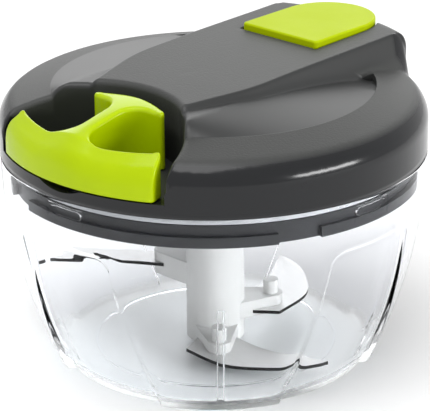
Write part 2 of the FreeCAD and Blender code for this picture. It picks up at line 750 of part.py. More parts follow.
def grip_plan():
    """Outer bar, narrow waist and inner block, as one upright solid."""
    low, high = recess_floor + bar_clear, recess_floor + 40
    inner = rim_radius - bar_thickness
    bar = sector(0, bar_half_angle, inner, rim_radius - 0.1, low, high)
    block = cylinder(block_back_radius, low, high, (0, recess_centre))
    block = block.common(box(-block_half, block_half, -inner, 0, low, high))
    plan = fuse(bar, block)
    space = finger_space(low - 1, high + 1)
    return cut(plan, space, space.mirror(Vector(0, 0, 0), Vector(1, 0, 0)))


def barrel(y, height, slope, fall):
    """Big sloping cylinder whose crest passes through height at y, rising with slope along +Y."""
    tilt = math.atan(slope)
    radius = 1 / (2 * fall * math.cos(tilt))
    along = Vector(0, math.cos(tilt), math.sin(tilt))
    across = Vector(0, -math.sin(tilt), math.cos(tilt))
    start = Vector(0, y, height) - across * radius - along * 200
    return Part.makeCylinder(radius, 400, start, along)


def is_grip_top(edge):
    """True for the edges round the handle's top, but not the seams across it."""
    size = edge.BoundBox
    on_seam = size.XLength < 0.01 and abs(size.XMin) < 0.01
    return size.ZMin > crease_height - 8 and size.ZLength < 9 and edge.Length > 0.3 and not on_seam


def make_handle_grip():
    top = barrel(bar_thickness - rim_radius, grip_height, grip_slope, grip_fall)
    crease = barrel(-rim_radius, crease_height, crease_slope, crease_fall)
    grip = grip_plan().common(top).common(crease).removeSplitter()
    grip = rounded(grip, grip_round, is_grip_top)
    knot = Vector(0, knot_y(), cord_height)
    cord_way = Part.makeCylinder(cord_radius + body_gap, 30, knot, Vector(0, 1, 0))
    chamber = cylinder(chamber_radius, recess_floor, cord_height + chamber_radius, (0, knot_y()))
    return cut(grip, cord_way, chamber)


def make_handle_plug():
    """Round plug that closes the knot's chamber from below."""
    low = recess_floor + bar_clear
    return cylinder(chamber_radius, low, cord_height - chamber_radius, (0, knot_y()))


def make_cord_knot():
    return Part.makeSphere(knot_radius, Vector(0, knot_y(), cord_height))


# ---- writing the pieces -------------------------------------------------------------------------
def build():
    blades = [make_blade(i) for i in range(len(blade_heights))]
    knot = make_cord_knot()
    pieces = {
        "bowl": make_bowl(),
        "blade_pin": make_blade_pin(),
        "blade_hub": make_hub(blades),
        "blade_lower": blades[0],
        "blade_middle": blades[1],
        "blade_upper": blades[2],
        "seal_ring": make_seal_ring(),
        "lid_base": make_lid_base(),
        "lid_cover": make_lid_cover(),
        "lid_screws": make_screws(spots(boss_count, 45, lid_boss_ring), plate_bottom + 0.6, 1),
        "spool_bush": make_spool_bush(),
        "return_spring": make_return_spring(),
        "spring_cover": make_spring_cover(),
        "cord_spool": make_spool(),
        "cord_winding": make_cord_winding(),
        "spool_bridge": make_spool_bridge(),
        "bridge_screws": make_screws(spots(post_count, post_azimuth, post_ring), bridge_top, -1),
        "drive_dog": make_drive_dog(),
        "dog_screw": make_dog_screw(),
        "cord_guide": make_cord_guide(),
        "pull_cord": make_pull_cord().cut(knot),
        "cord_knot": knot,
        "handle_grip": make_handle_grip(),
        "handle_plug": make_handle_plug(),
        "release_key": make_release_key(),
        "key_pin": make_key_pin(),
        "key_spring": make_key_spring(),
    }
    os.makedirs("parts", exist_ok=True)
    for name, shape in pieces.items():
        solids = shape.Solids
        if not solids or not all(s.isValid() for s in solids):
            print("CHECK", name, len(solids), [s.isValid() for s in solids])
        shape = solids[0] if len(solids) == 1 else Part.makeCompound(solids)
        shape.exportStep("parts/%s.step" % name)
        print("%-14s solids %d  volume %8.0f mm3" % (name, len(solids), shape.Volume))


build()
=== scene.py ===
import json
import math

import bmesh
import bpy
import numpy as np
from mathutils import Matrix, Vector
from mathutils.geometry import delaunay_2d_cdt

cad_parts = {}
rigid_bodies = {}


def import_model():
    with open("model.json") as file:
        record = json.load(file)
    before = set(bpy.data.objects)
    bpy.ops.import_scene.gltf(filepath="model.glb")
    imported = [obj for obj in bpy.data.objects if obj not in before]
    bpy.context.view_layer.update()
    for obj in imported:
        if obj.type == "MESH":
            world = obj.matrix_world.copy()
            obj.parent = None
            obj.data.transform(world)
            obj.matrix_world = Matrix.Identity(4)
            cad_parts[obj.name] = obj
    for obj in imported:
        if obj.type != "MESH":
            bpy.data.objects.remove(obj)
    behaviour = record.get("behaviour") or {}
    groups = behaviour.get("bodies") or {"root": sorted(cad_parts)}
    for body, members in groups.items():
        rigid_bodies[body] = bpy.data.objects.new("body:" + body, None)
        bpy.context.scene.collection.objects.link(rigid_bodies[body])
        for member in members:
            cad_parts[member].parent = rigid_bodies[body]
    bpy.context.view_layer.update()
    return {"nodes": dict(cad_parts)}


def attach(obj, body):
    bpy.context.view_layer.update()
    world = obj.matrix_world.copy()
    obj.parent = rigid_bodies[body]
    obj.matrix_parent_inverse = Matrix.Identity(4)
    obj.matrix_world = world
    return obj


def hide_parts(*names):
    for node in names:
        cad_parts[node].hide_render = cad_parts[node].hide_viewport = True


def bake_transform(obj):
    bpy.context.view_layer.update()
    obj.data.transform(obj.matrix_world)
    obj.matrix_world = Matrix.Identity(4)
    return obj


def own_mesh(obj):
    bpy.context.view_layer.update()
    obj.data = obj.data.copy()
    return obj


# Millimetres, Z up, bowl on z = 0 around the Z axis, pull handle towards -Y.
# An azimuth counts in degrees from -Y towards +X. A plan is an array of (x, y).
mm = 0.001

for startObject in list(bpy.data.objects):
    bpy.data.objects.remove(startObject)
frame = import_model()
nodes = frame["nodes"]
print("frame loaded,", len(nodes), "nodes")


# small tools for shapes

def easeStep(t):
    # 0 below 0, 1 above 1, and a smooth S between
    t = np.clip(t, 0, 1)
    return t * t * (3 - 2 * t)


def softMin(a, b, width):
    # the lower of two heights, with a round of about that width where they cross
    share = np.clip(0.5 + 0.5 * (b - a) / width, 0, 1)
    return b + (a - b) * share - width * share * (1 - share)


def softMax(a, b, width):
    # the higher of two heights, rounded in the same way
    return -softMin(-a, -b, width)


def quarterDrop(inside, reach, depth):
    # a quarter ellipse: falls by depth over the last reach before an edge, inside counts from that edge
    t = np.clip(1 - inside / reach, 0, 1)
    return depth * (1 - np.sqrt(1 - t * t))


def cubicThrough(spots, at):
    # the cubic that runs closest to a few (place, height) spots
    return np.polyval(np.polyfit(*np.array(spots).T, 3), at)


def onCircle(azimuth, radius, centreY=0.0):
    # x is the radius times the azimuth's sine, y the centre's less the radius times its cosine
    a = np.radians(azimuth)
    return np.stack([radius * np.sin(a), centreY - radius * np.cos(a)], -1)


def distances(line):
    # from a line's first point to each of its points, along the line
    return np.r_[0, np.cumsum(np.hypot(*np.diff(line, axis=0).T))]


def pointsAt(at, line):
    # a plan line's points at those distances along it
    along = distances(line)
    return np.stack([np.interp(at, along, line[:, k]) for k in (0, 1)], -1)


def resample(points, spacing):
    # the same closed line with points about that far apart
    closed = np.vstack([points, points[:1]])
    length = distances(closed)[-1]
    return pointsAt(np.linspace(0, length, int(round(length / spacing)), endpoint=False), closed)


def roundCorners(points, sigma):
    # blurs a closed line of evenly spaced points, sigma counts in points
    reach = int(4 * sigma)
    offsets = np.arange(-reach, reach + 1)
    weights = np.exp(-0.5 * (offsets / sigma) ** 2)
    weights /= weights.sum()
    return sum(w * np.roll(points, -k, axis=0) for k, w in zip(offsets, weights))


def outwardNormals(points):
    # of a closed line that runs anticlockwise
    along = np.roll(points, -1, axis=0) - np.roll(points, 1, axis=0)
    along /= np.hypot(*along.T)[:, None]
    return np.stack([along[:, 1], -along[:, 0]], -1)


def insideOutline(points, loop):
    # even-odd count of the loop's edges to the right of each point
    x, y = points[:, 0][:, None], points[:, 1][:, None]
    x0, y0 = loop[:, 0][None], loop[:, 1][None]
    x1, y1 = np.roll(loop[:, 0], -1)[None], np.roll(loop[:, 1], -1)[None]
    crosses = ((y0 > y) != (y1 > y)) & (x < (x1 - x0) * (y - y0) / (y1 - y0 + 1e-12) + x0)
    return crosses.sum(1) % 2 == 1


# faces and meshes

def gridFaces(rows, columns, wrap=False, flip=False):
    # quads of a grid of points, stored row after row
    row = np.arange(rows - 1)[:, None]
    column = np.arange(columns if wrap else columns - 1)[None, :]
    a = row * columns + column
    b = row * columns + (column + 1) % columns
    quads = np.stack([a, b, b + columns, a + columns], -1).reshape(-1, 4)
    return (quads[:, ::-1] if flip else quads).tolist()


def tubeFaces(rings, sides, flip=False):
    # a tube's side faces and its two end caps
    last = (rings - 1) * sides
    caps = [list(range(sides))[::-1], list(range(last, last + sides))]
    return gridFaces(rings, sides, wrap=True, flip=flip) + [cap[::-1] if flip else cap for cap in caps]


def strip(rows, wrap=False, flip=False):
    # (points, faces) of rows with equally many points
    rows = np.asarray(rows)
    return rows.reshape(-1, 3), gridFaces(rows.shape[0], rows.shape[1], wrap, flip)


def hang(plan, top, bottom, count):
    # rows of points under one another along a plan line, evenly from its top height to its bottom height
    return [np.column_stack([plan, top + (bottom - top) * share]) for share in np.linspace(0, 1, count)]


def fillOutline(outline, spots, holes=()):
    # (plan, faces): Delaunay triangles between an outline, its holes and loose spots, all anticlockwise
    loops = [outline, *holes]
    points = np.vstack(loops + [spots])
    edges, start = [], 0
    for loop in loops:
        ring = np.arange(len(loop))
        edges.append(np.stack([ring, np.roll(ring, -1)], -1) + start)
        start += len(loop)
    result = delaunay_2d_cdt([Vector(p) for p in points], np.vstack(edges).tolist(), [], 2, 1e-5)
    plan = np.array([tuple(v) for v in result[0]])
    same = np.abs(plan[:len(points)] - points).max(1) < 1e-4
    plan[:len(points)][same] = points[same]          # in full precision again
    corners = np.array(result[2])
    middles = plan[corners].mean(1)
    keep = insideOutline(middles, outline)
    for hole in holes:
        keep &= ~insideOutline(middles, hole)
    corners = corners[keep]
    a, b, c = plan[corners].transpose(1, 0, 2)
    turn = (b[:, 0] - a[:, 0]) * (c[:, 1] - a[:, 1]) - (b[:, 1] - a[:, 1]) * (c[:, 0] - a[:, 0])
    return plan, np.where(turn[:, None] > 0, corners, corners[:, ::-1]).tolist()


def joinParts(parts):
    # several (points, faces) as one, each part's faces counted on from the points before it
    faces, count = [], 0
    for points, corners in parts:
        faces += [tuple(k + count for k in face) for face in corners]
        count += len(points)
    return np.vstack([points for points, corners in parts]), faces


def addPiece(points, faces, name):
    mesh = bpy.data.meshes.new(name)
    mesh.from_pydata((np.asarray(points) * mm).tolist(), [], faces)
    mesh.update()
    piece = bpy.data.objects.new(name, mesh)
    bpy.context.scene.collection.objects.link(piece)
    return piece


def weld(piece, distance=1e-6):
    # merges points closer than that, in metres, and drops the faces that this folds flat
    work = bmesh.new()
    work.from_mesh(piece.data)
    bmesh.ops.remove_doubles(work, verts=work.verts, dist=distance)
    bmesh.ops.dissolve_degenerate(work, edges=work.edges, dist=distance)
    work.to_mesh(piece.data)
    work.free()


def cutRound(piece, radius, low, high, sides=40):
    # cuts a round hole between two points with a closed tool, then removes the tool
    low, high = np.array(low, float), np.array(high, float)
    axis = (high - low) / np.linalg.norm(high - low)
    side = np.array([1.0, 0, 0])
    angle = np.linspace(0, 2 * math.pi, sides, endpoint=False)[:, None]
    ring = radius * (side * np.cos(angle) + np.cross(axis, side) * np.sin(angle))
    tool = addPiece(np.vstack([ring + low, ring + high]), tubeFaces(2, sides), "tool")
    cut = piece.modifiers.new("cut", "BOOLEAN")
    cut.operation, cut.solver, cut.object = "DIFFERENCE", "EXACT", tool
    bpy.context.view_layer.update()
    result = bpy.data.meshes.new_from_object(piece.evaluated_get(bpy.context.evaluated_depsgraph_get()))
    piece.modifiers.clear()
    piece.data = result
    bpy.data.objects.remove(tool)


def smoothShade(piece, sharpAngle, wall=0.0):
    # edges stay sharp past the angle; a piece drawn as a skin gets its wall inwards
    piece.data.shade_smooth()
    piece.data.set_sharp_from_angle(angle=math.radians(sharpAngle))
    if wall:
        shell = piece.modifiers.new("shell", "SOLIDIFY")
        shell.thickness = wall * mm
        shell.offset = -1
    even = piece.modifiers.new("evenNormals", "WEIGHTED_NORMAL")
    even.keep_sharp = True


# bowl

bowlShape = {
    "rimRadius": 74.0, "rimHeight": 76.0, "sideCurve": 168.0, "wall": 2.4, "floor": 3.0,
    "baseRound": 2.0, "rimRound": 0.55, "floorRound": 3.2,
    "panelTop": 59.0, "panelTopHalf": 18.0, "panelFootHalf": 22.8, "panelCorner": 5.0,
    "panelDepthTop": 0.8, "panelDepthFoot": 3.0, "panelSoft": 0.9, "panelSoftInside": 4.5,
    "ribTop": 42.0, "ribHalf": 1.1, "ribDepth": 1.6, "ribSoft": 0.4,
    "padHalf": 8.05, "padLow": 66.8, "padHigh": 73.2, "padRadius": 71.1, "padCorner": 0.5, "padSoft": 0.2,
    "lugHalf": 6.8, "lugLow": 69.3, "lugHigh": 72.0, "lugRadius": 69.8, "lugCorner": 1.3, "lugSoft": 0.25,
    "lugCurve": 71.0,                                  # radius that pads and lugs are unrolled on
    "stepRadius": 42.5, "stepHalf": 0.5, "stepHeight": 0.5,
    "bossRadius": 7.0, "bossTop": 9.0, "holeRadius": 3.02, "holeBottom": 1.0,
    "lugColumns": (5.25, 5.75), "padColumns": (6.25, 6.75),      # azimuths either side of their edges
    "columnCounts": (5, 3, 2, 3, 8, 6, 14, 2, 2),
}


def bowlSide(z, inset=0.0):
    # radius of the side: an arc seen from the side, upright at the rim
    s = bowlShape
    rise = np.clip(s["rimHeight"] - z, 0, None)
    return s["rimRadius"] - s["sideCurve"] + np.sqrt((s["sideCurve"] - inset) ** 2 - rise ** 2)


def panelSide(z):
    # half width between a grip panel's sloping sides
    s = bowlShape
    return s["panelTopHalf"] + (s["panelFootHalf"] - s["panelTopHalf"]) * (s["panelTop"] - z) / s["panelTop"]


def panelEdge(z):
    # the same with the quarter-round upper corners
    s = bowlShape
    up = np.clip(z - s["panelTop"] + s["panelCorner"], 0, s["panelCorner"])
    return panelSide(z) - s["panelCorner"] + np.sqrt(s["panelCorner"] ** 2 - up ** 2)


def panelShare(x, z, soft):
    # 1 inside a panel's outline, 0 outside, soft across its edge
    s = bowlShape
    a = s["panelCorner"] - (panelSide(z) - np.abs(x))
    b = s["panelCorner"] - (s["panelTop"] - z)
    depth = s["panelCorner"] - np.hypot(np.maximum(a, 0), np.maximum(b, 0)) - np.minimum(np.maximum(a, b), 0)
    return easeStep(0.5 + depth / (2 * soft))


def panelDepth(z):
    # deeper in proportion, from a panel's top to its foot
    s = bowlShape
    deepening = s["panelDepthFoot"] - s["panelDepthTop"]
    return s["panelDepthTop"] + deepening * (s["panelTop"] - z) / s["panelTop"]


def blockShare(x, z, name):
    # 1 inside the pad's or the lug's round-cornered rectangle, 0 outside
    sizes = ("Half", "Low", "High", "Corner", "Soft")
    half, low, high, corner, soft = (bowlShape[name + size] for size in sizes)
    dx = np.abs(x) - half + corner
    dz = np.abs(z - (low + high) / 2) - (high - low) / 2 + corner
    away = np.hypot(np.maximum(dx, 0), np.maximum(dz, 0)) + np.minimum(np.maximum(dx, dz), 0) - corner
    return easeStep(0.5 - away / (2 * soft))


def bowlAzimuths(z):
    # azimuths of the columns at each height: one eighth of the bowl, from a panel's middle to a rib's
    # middle, gathered at the edges of lug, pad, panel and rib, then mirrored and repeated round the bowl
    s = bowlShape
    radius = bowlSide(z)
    edge = np.degrees(np.arcsin(panelEdge(np.clip(z, 0, s["panelTop"])) / radius))
    soft = np.degrees(1.3 * s["panelSoft"] / radius)
    rib = 45 - np.degrees(s["ribHalf"] / radius)
    ribSoft = np.degrees(0.25 / radius)
    level = np.ones_like(z)
    knots = [0 * level, *(level * k for k in s["lugColumns"] + s["padColumns"]),
             edge - soft, edge + soft, rib - ribSoft, rib + ribSoft, 45 * level]
    eighth = []
    for first, last, count in zip(knots, knots[1:], s["columnCounts"]):
        eighth.append(first[:, None] + (last - first)[:, None] * (np.arange(count) / count))
    eighth = np.hstack(eighth)
    quarter = np.hstack([np.full((len(z), 1), -45.0), -eighth[:, :0:-1], eighth])
    return np.hstack([quarter + 90 * k for k in range(4)])


def fromPanelMiddle(azimuth):
    # azimuth counted from the nearest of the four panels' middles
    return (azimuth + 45) % 90 - 45


def bowlOuter(azimuth, z):
    # side radius less the panels' depth
    radius = bowlSide(z)
    x = radius * np.sin(np.radians(fromPanelMiddle(azimuth)))
    return radius - panelDepth(z) * panelShare(x, z, bowlShape["panelSoft"])


def bowlInner(azimuth, z):
    # the same a wall further in, with the ribs, pads and lugs standing out of it
    s = bowlShape
    radius = bowlSide(z, s["wall"])
    local = fromPanelMiddle(azimuth)
    x = bowlSide(z) * np.sin(np.radians(local))
    radius = radius - panelDepth(z) * panelShare(x, z, s["panelSoftInside"])
    fromRib = np.abs(radius * np.sin(np.radians(45 - np.abs(local))))
    beside, below = s["ribHalf"] - fromRib, s["ribTop"] - z
    rib = easeStep(0.5 + beside / s["ribSoft"]) * easeStep(0.5 + below / s["ribSoft"])
    radius = radius - s["ribDepth"] * rib
    lugX = s["lugCurve"] * np.radians(local)
    radius = radius + (s["padRadius"] - radius) * blockShare(lugX, z, "pad")
    return radius + (s["lugRadius"] - radius) * blockShare(lugX, z, "lug")


def bowlRows():
    # rows of points along the section, from the middle of the underside, up the outside, over the rim,
    # down the inside and across the floor to the pin's hole; each row has its radius by azimuth, its
    # height, and the height whose columns it follows
    s = bowlShape
    rows = []
    foot, edge, top = s["baseRound"], s["rimRound"], s["rimHeight"]
    panel, fine = s["panelTop"], s["panelSoft"]
    for share in (0.0, 0.25, 0.5, 0.75, 0.92):
        rows.append((lambda az, k=share: k * (bowlOuter(az, foot) - foot), 0.0, foot))
    for angle in np.radians(np.linspace(0, 90, 7)):
        inwards, z = foot * (1 - math.sin(angle)), foot * (1 - math.cos(angle))
        rows.append((lambda az, k=inwards: bowlOuter(az, foot) - k, z, foot))
    panelTopRows = np.array([-0.6, -0.2, 0.2, 0.6]) * fine
    outerHeights = np.r_[np.linspace(3.4, 51, 34), np.linspace(52, panel - fine, 12), panel + panelTopRows,
                         panel + fine * 1.05, np.linspace(60.5, 75, 10), top - edge]
    for z in outerHeights:
        rows.append((lambda az, k=z: bowlOuter(az, k), z, z))
    for angle in np.radians([22, 45, 67, 90]):
        inwards, drop = edge * (1 - math.cos(angle)), edge * (1 - math.sin(angle))
        rows.append((lambda az, k=inwards: bowlOuter(az, top) - k, top - drop, top))
    for angle in np.radians([90, 67, 45, 22]):
        inwards, drop = edge * (1 - math.cos(angle)), edge * (1 - math.sin(angle))
        rows.append((lambda az, k=inwards: bowlInner(az, top) + k, top - drop, top))
    low = s["floor"] + s["floorRound"]
    padRows = np.array([0.3, 0.1, -0.1, -0.3])
    lugMiddle = (s["lugLow"] + s["lugHigh"]) / 2
    innerHeights = np.r_[top - edge, 74.3, s["padHigh"] + padRows,
                         s["lugHigh"] + np.array([0.4, 0.25, 0.1, -0.1, -0.3, -0.7]), lugMiddle,
                         s["lugLow"] + np.array([0.7, 0.3, 0.15, 0, -0.15, -0.4]), 68, s["padLow"] + padRows,
                         65, 62.5, 60.5, panel + fine * 1.05, panel - panelTopRows,
                         np.linspace(panel - fine, 52, 12), np.linspace(51, 43, 6),
                         s["ribTop"] + np.array([0.25, 0.1, -0.1, -0.25]), np.linspace(41, low, 26)]
    for z in innerHeights:
        rows.append((lambda az, k=z: bowlInner(az, k), z, z))
    for angle in np.radians(np.linspace(10, 90, 7)):
        inwards, z = s["floorRound"] * (1 - math.cos(angle)), low - s["floorRound"] * math.sin(angle)
        rows.append((lambda az, k=inwards: bowlInner(az, low) - k, z, low))
    step, half, rise = s["stepRadius"], s["stepHalf"], s["stepHeight"]
    outside = step + half + 0.2
    for share in (0.35, 0.7):
        rows.append((lambda az, k=share: (1 - k) * (bowlInner(az, low) - s["floorRound"]) + k * outside,
                     s["floor"], low))
    boss, hole = s["bossRadius"], s["holeRadius"]
    high, deep = s["bossTop"] - s["floor"], s["holeBottom"] - s["floor"]
    floorLine = [(step + half + 0.15, 0), (step + half, 0.12), (step + half - 0.08, rise - 0.08),
                 (step + half - 0.2, rise), (step - half + 0.2, rise), (step - half + 0.08, rise - 0.08),
                 (step - half, 0.12), (step - half - 0.15, 0), (34, 0), (24, 0), (14, 0), (boss + 0.9, 0),
                 (boss + 0.3, 0.15), (boss, 0.9), (boss, 3), (boss, high - 0.5), (boss - 0.12, high - 0.1),
                 (boss - 0.4, high), (5.2, high), (hole + 0.3, high), (hole, high - 0.3), (hole, 2),
                 (hole, deep + 0.1), (hole - 0.1, deep), (0.0, deep)]
    for radius, up in floorLine:
        rows.append((lambda az, k=radius: np.full_like(az, k), s["floor"] + up, low))
    return rows


def makeBowl():
    # one closed grid: each row of bowlRows carried round the axis
    rows = bowlRows()
    azimuths = bowlAzimuths(np.array([float(row[2]) for row in rows]))
    radii = np.array([row[0](az) for row, az in zip(rows, azimuths)])
    heights = np.broadcast_to(np.array([row[1] for row in rows])[:, None], radii.shape)
    angle = np.radians(azimuths)
    points = np.stack([radii * np.sin(angle), -radii * np.cos(angle), heights], -1)
    bowl = addPiece(*strip(points, wrap=True), "clearBowl")
    weld(bowl, 2e-7)
    smoothShade(bowl, 50)
    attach(bowl, "bowl")
    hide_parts("bowl")
    print("bowl,", len(bowl.data.polygons), "faces")
    return bowl


# lid cover

coverShape = {
    "radius": 74.0, "bottom": 76.3, "wall": 1.5,
    "ringInner": 56.0, "ringHeight": 98.0, "ringSlope": 0.245, "shoulderReach": 6.0, "shoulderDrop": 7.0,
    "bandHalf": 28.3, "bandFrontHalf": 20.2, "bandFront": -38.2, "bandWiden": 0.295, "bandFlank": 2.6,
    "bandCorner": 2.5, "bandEdge": 1.6, "bandFoot": 3.6, "bandProud": 1.2, "bandRearReach": 6.0,
    "proudFrom": 82.5, "proudOver": 6.0,               # heights in which the wall swells out to the band
    "bandTop": ((-45, 102.2), (-38, 102.9), (-30, 103.7), (-20, 104.5), (-10, 104.9), (0, 105.2), (20, 105.7),
                (50, 106.4), (75, 106.8)),
    "dishFront": 102.1, "dishFall": 4.7, "dishStart": -20.0, "dishLength": 53.0,
    "dishWallFrom": (29.2, 34.3), "dishWallTo": (35.2, 44.6),
    "recessRadius": 38.8, "recessCentre": -70.0, "recessFloor": 81.0, "recessEdge": 2.0,
    "scoopRadius": 24.0, "scoopDepth": 2.0, "scoopReach": 7.0,
    "pocketGap": 0.6, "pocketFloor": 99.6, "pocketEdge": 0.5,
    "guideHole": 4.05, "guideHeight": 89.0, "slotHalf": 5.0, "slotFrom": 61.2, "slotTo": 67.2,
    "glossWall": 0.16, "glossDish": 0.4, "glossGrain": 0.52,     # roughness
    "creaseStep": 0.9, "fieldStep": 1.55, "keyStep": 0.8,        # distances between points
}
keyPlan = {"half": 17.4, "front": 33.5, "rearCentre": 59.4, "corner": 1.5}


def bandHalfWidth(y):
    # widens evenly from its front edge, then stays at its full width
    s = coverShape
    widening = s["bandFrontHalf"] + s["bandWiden"] * (y - s["bandFront"])
    return softMin(np.full_like(y, s["bandHalf"]), widening, s["bandCorner"])


def coverOutline(azimuth):
    # plan radius of the outer wall: a circle, a little larger where the band ends at the rear
    s = coverShape
    across = np.abs(s["radius"] * np.sin(np.radians(azimuth)))
    atRear = np.cos(np.radians(azimuth)) < 0
    return s["radius"] + s["bandProud"] * atRear * easeStep((s["bandHalf"] + 1.0 - across) / 1.4)


def beforeDishWall(x, y):
    # how far in front of the crescent's short rear wall, times the wall's length
    (x0, y0), (x1, y1) = coverShape["dishWallFrom"], coverShape["dishWallTo"]
    return (np.abs(x) - x0) * (y1 - y0) - (y - y0) * (x1 - x0)


def isDish(x, y):
    # the sunk crescent between band and ring, in front of its short rear wall
    return (np.hypot(x, y) < coverShape["ringInner"]) & (beforeDishWall(x, y) > 0)


def coverHeight(x, y):
    # upper surface before its edges are rounded: sloping ring, sunk crescents, and the band across
    s = coverShape
    radius = np.hypot(x, y)
    azimuth = np.degrees(np.arctan2(x, -y))
    ring = s["ringHeight"] - s["ringSlope"] * (radius - s["ringInner"])
    ring = np.where(radius < s["ringInner"], s["ringHeight"], ring)
    ring = ring - quarterDrop(s["radius"] - radius, s["shoulderReach"], s["shoulderDrop"])
    foot = s["dishFront"] - s["dishFall"] * (np.clip(y - s["dishStart"], 0, None) / s["dishLength"]) ** 2
    outerX = np.sqrt(np.clip(s["ringInner"] ** 2 - y ** 2, 1, None))
    share = np.clip((np.abs(x) - s["bandHalf"]) / np.clip(outerX - s["bandHalf"], 1, None), 0, 1)
    dish = foot + (np.minimum(foot, s["ringHeight"]) - foot) * share
    outside = np.abs(x) - bandHalfWidth(y)
    before = beforeDishWall(x, y) / math.dist(s["dishWallFrom"], s["dishWallTo"])
    fade = easeStep((5.0 - before) / 4.0) * easeStep((5.5 - outside) / 3.0) * (y > 15)
    base = np.where(isDish(x, y), dish + (ring - dish) * fade, ring)
    top = cubicThrough(s["bandTop"], y)
    band = softMin(top, top - s["bandFlank"] * outside, s["bandEdge"])
    rear = coverOutline(azimuth) - radius
    band = band - quarterDrop(rear, s["bandRearReach"], s["bandRearReach"]) * (y > 0)
    return softMax(base, band, s["bandFoot"])


def roundedHeight(plan):
    # coverHeight with the edges of the recess and the pocket rounded, no lower than the pocket's floor
    s, half = coverShape, keyPlan["half"] + coverShape["pocketGap"]
    x, y = plan[:, 0], plan[:, 1]
    fromRecess = np.hypot(x, y - s["recessCentre"]) - s["recessRadius"]
    z = coverHeight(x, y) - quarterDrop(fromRecess, s["recessEdge"], s["recessEdge"])
    beside = np.where(y > keyPlan["rearCentre"], np.hypot(x, y - keyPlan["rearCentre"]),
                      np.maximum(np.abs(x), half + keyPlan["front"] - s["pocketGap"] - y)) - half
    z = z - quarterDrop(beside, s["pocketEdge"], s["pocketEdge"])
    return np.where(beside < s["pocketEdge"], np.maximum(z, s["pocketFloor"]), z)


def scoopHeight(plan):
    # the recess floor's level, hollowed by a round fingertip scoop at its front edge
    s = coverShape
    level, r = s["recessFloor"], s["scoopRadius"]
    dip = level + r - s["scoopDepth"] - np.sqrt(np.clip(r * r - plan[:, 0] ** 2, 0, None))
    return np.where(np.hypot(*plan.T) > s["radius"] - s["scoopReach"], np.minimum(dip, level), level)


def keyFront(grow):
    # the key's straight front edge with its rounded corners
    s = keyPlan
    half, front = s["half"] + grow, s["front"] - grow
    corner = max(s["corner"] + grow, 0.3)
    left = onCircle(np.linspace(-90, 0, 10), corner) + [-half + corner, front + corner]
    right = onCircle(np.linspace(0, 90, 10), corner) + [half - corner, front + corner]
    return np.vstack([left, right])


def keyOutline(grow):
    # plan of the key: straight front and sides, half-round rear, all grown outwards
    rear = onCircle(np.linspace(90, 270, 80), keyPlan["half"] + grow, keyPlan["rearCentre"])
    return resample(np.vstack([keyFront(grow), rear]), coverShape["keyStep"])


def pocketPath():
    # the key's pocket inside the lid: its half-round rear breaks through the lid's rear wall; also
    # gives the azimuth where it does
    half, centre = keyPlan["half"] + coverShape["pocketGap"], keyPlan["rearCentre"]
    wall = coverShape["radius"] + coverShape["bandProud"]
    y = (wall ** 2 - half ** 2 + centre ** 2) / (2 * centre)
    x = math.sqrt(wall ** 2 - y * y)
    turn = math.degrees(math.atan2(x, y - centre))
    rearLeft = onCircle(np.linspace(180 + turn, 270, 24), half, centre)
    path = np.vstack([rearLeft, keyFront(coverShape["pocketGap"]), rearLeft[::-1] * [-1, 1]])
    length = distances(path)[-1]
    even = pointsAt(np.linspace(0, length, int(length / coverShape["keyStep"])), path)
    return even, 180 - math.degrees(math.atan2(x, y))


def recessTouch():
    # azimuth on the lid's outer circle where the recess breaks through it, and its y
    s = coverShape
    y = (s["radius"] ** 2 - s["recessRadius"] ** 2 + s["recessCentre"] ** 2) / (2 * s["recessCentre"])
    return math.degrees(math.atan2(math.sqrt(s["radius"] ** 2 - y * y), -y)), y


def coverAzimuths(breakAz):
    # of the outer wall, from the recess's right end round the rear to its left end, close together at
    # the band's ends, and of the recess's wall about its own centre
    s = coverShape
    touch, touchY = recessTouch()
    bandAz = math.degrees(math.asin(s["bandHalf"] / s["radius"]))
    rightAz = np.interp(np.linspace(0, 1, 165), [0, 0.72, 0.92, 1],
                        [touch, 177 - bandAz, 183 - bandAz, breakAz])
    gapAz = np.linspace(breakAz, 360 - breakAz, 17)
    turn = math.degrees(math.atan2(s["radius"] * math.sin(math.radians(touch)), touchY - s["recessCentre"]))
    return np.r_[rightAz, gapAz[1:-1], 360 - rightAz[::-1]], np.linspace(180 + turn, 180 - turn, 120)


def clearOfEdges(spots, fromWall, fromRecess, fromPocket):
    # the spots at least that far inside the outer wall, and outside the recess and the key's pocket
    s = coverShape
    azimuth = np.degrees(np.arctan2(spots[:, 0], -spots[:, 1]))
    keep = coverOutline(azimuth) - np.hypot(*spots.T) > fromWall
    keep &= np.hypot(spots[:, 0], spots[:, 1] - s["recessCentre"]) - s["recessRadius"] > fromRecess
    return spots[keep & ~insideOutline(spots, keyOutline(s["pocketGap"] + fromPocket))]


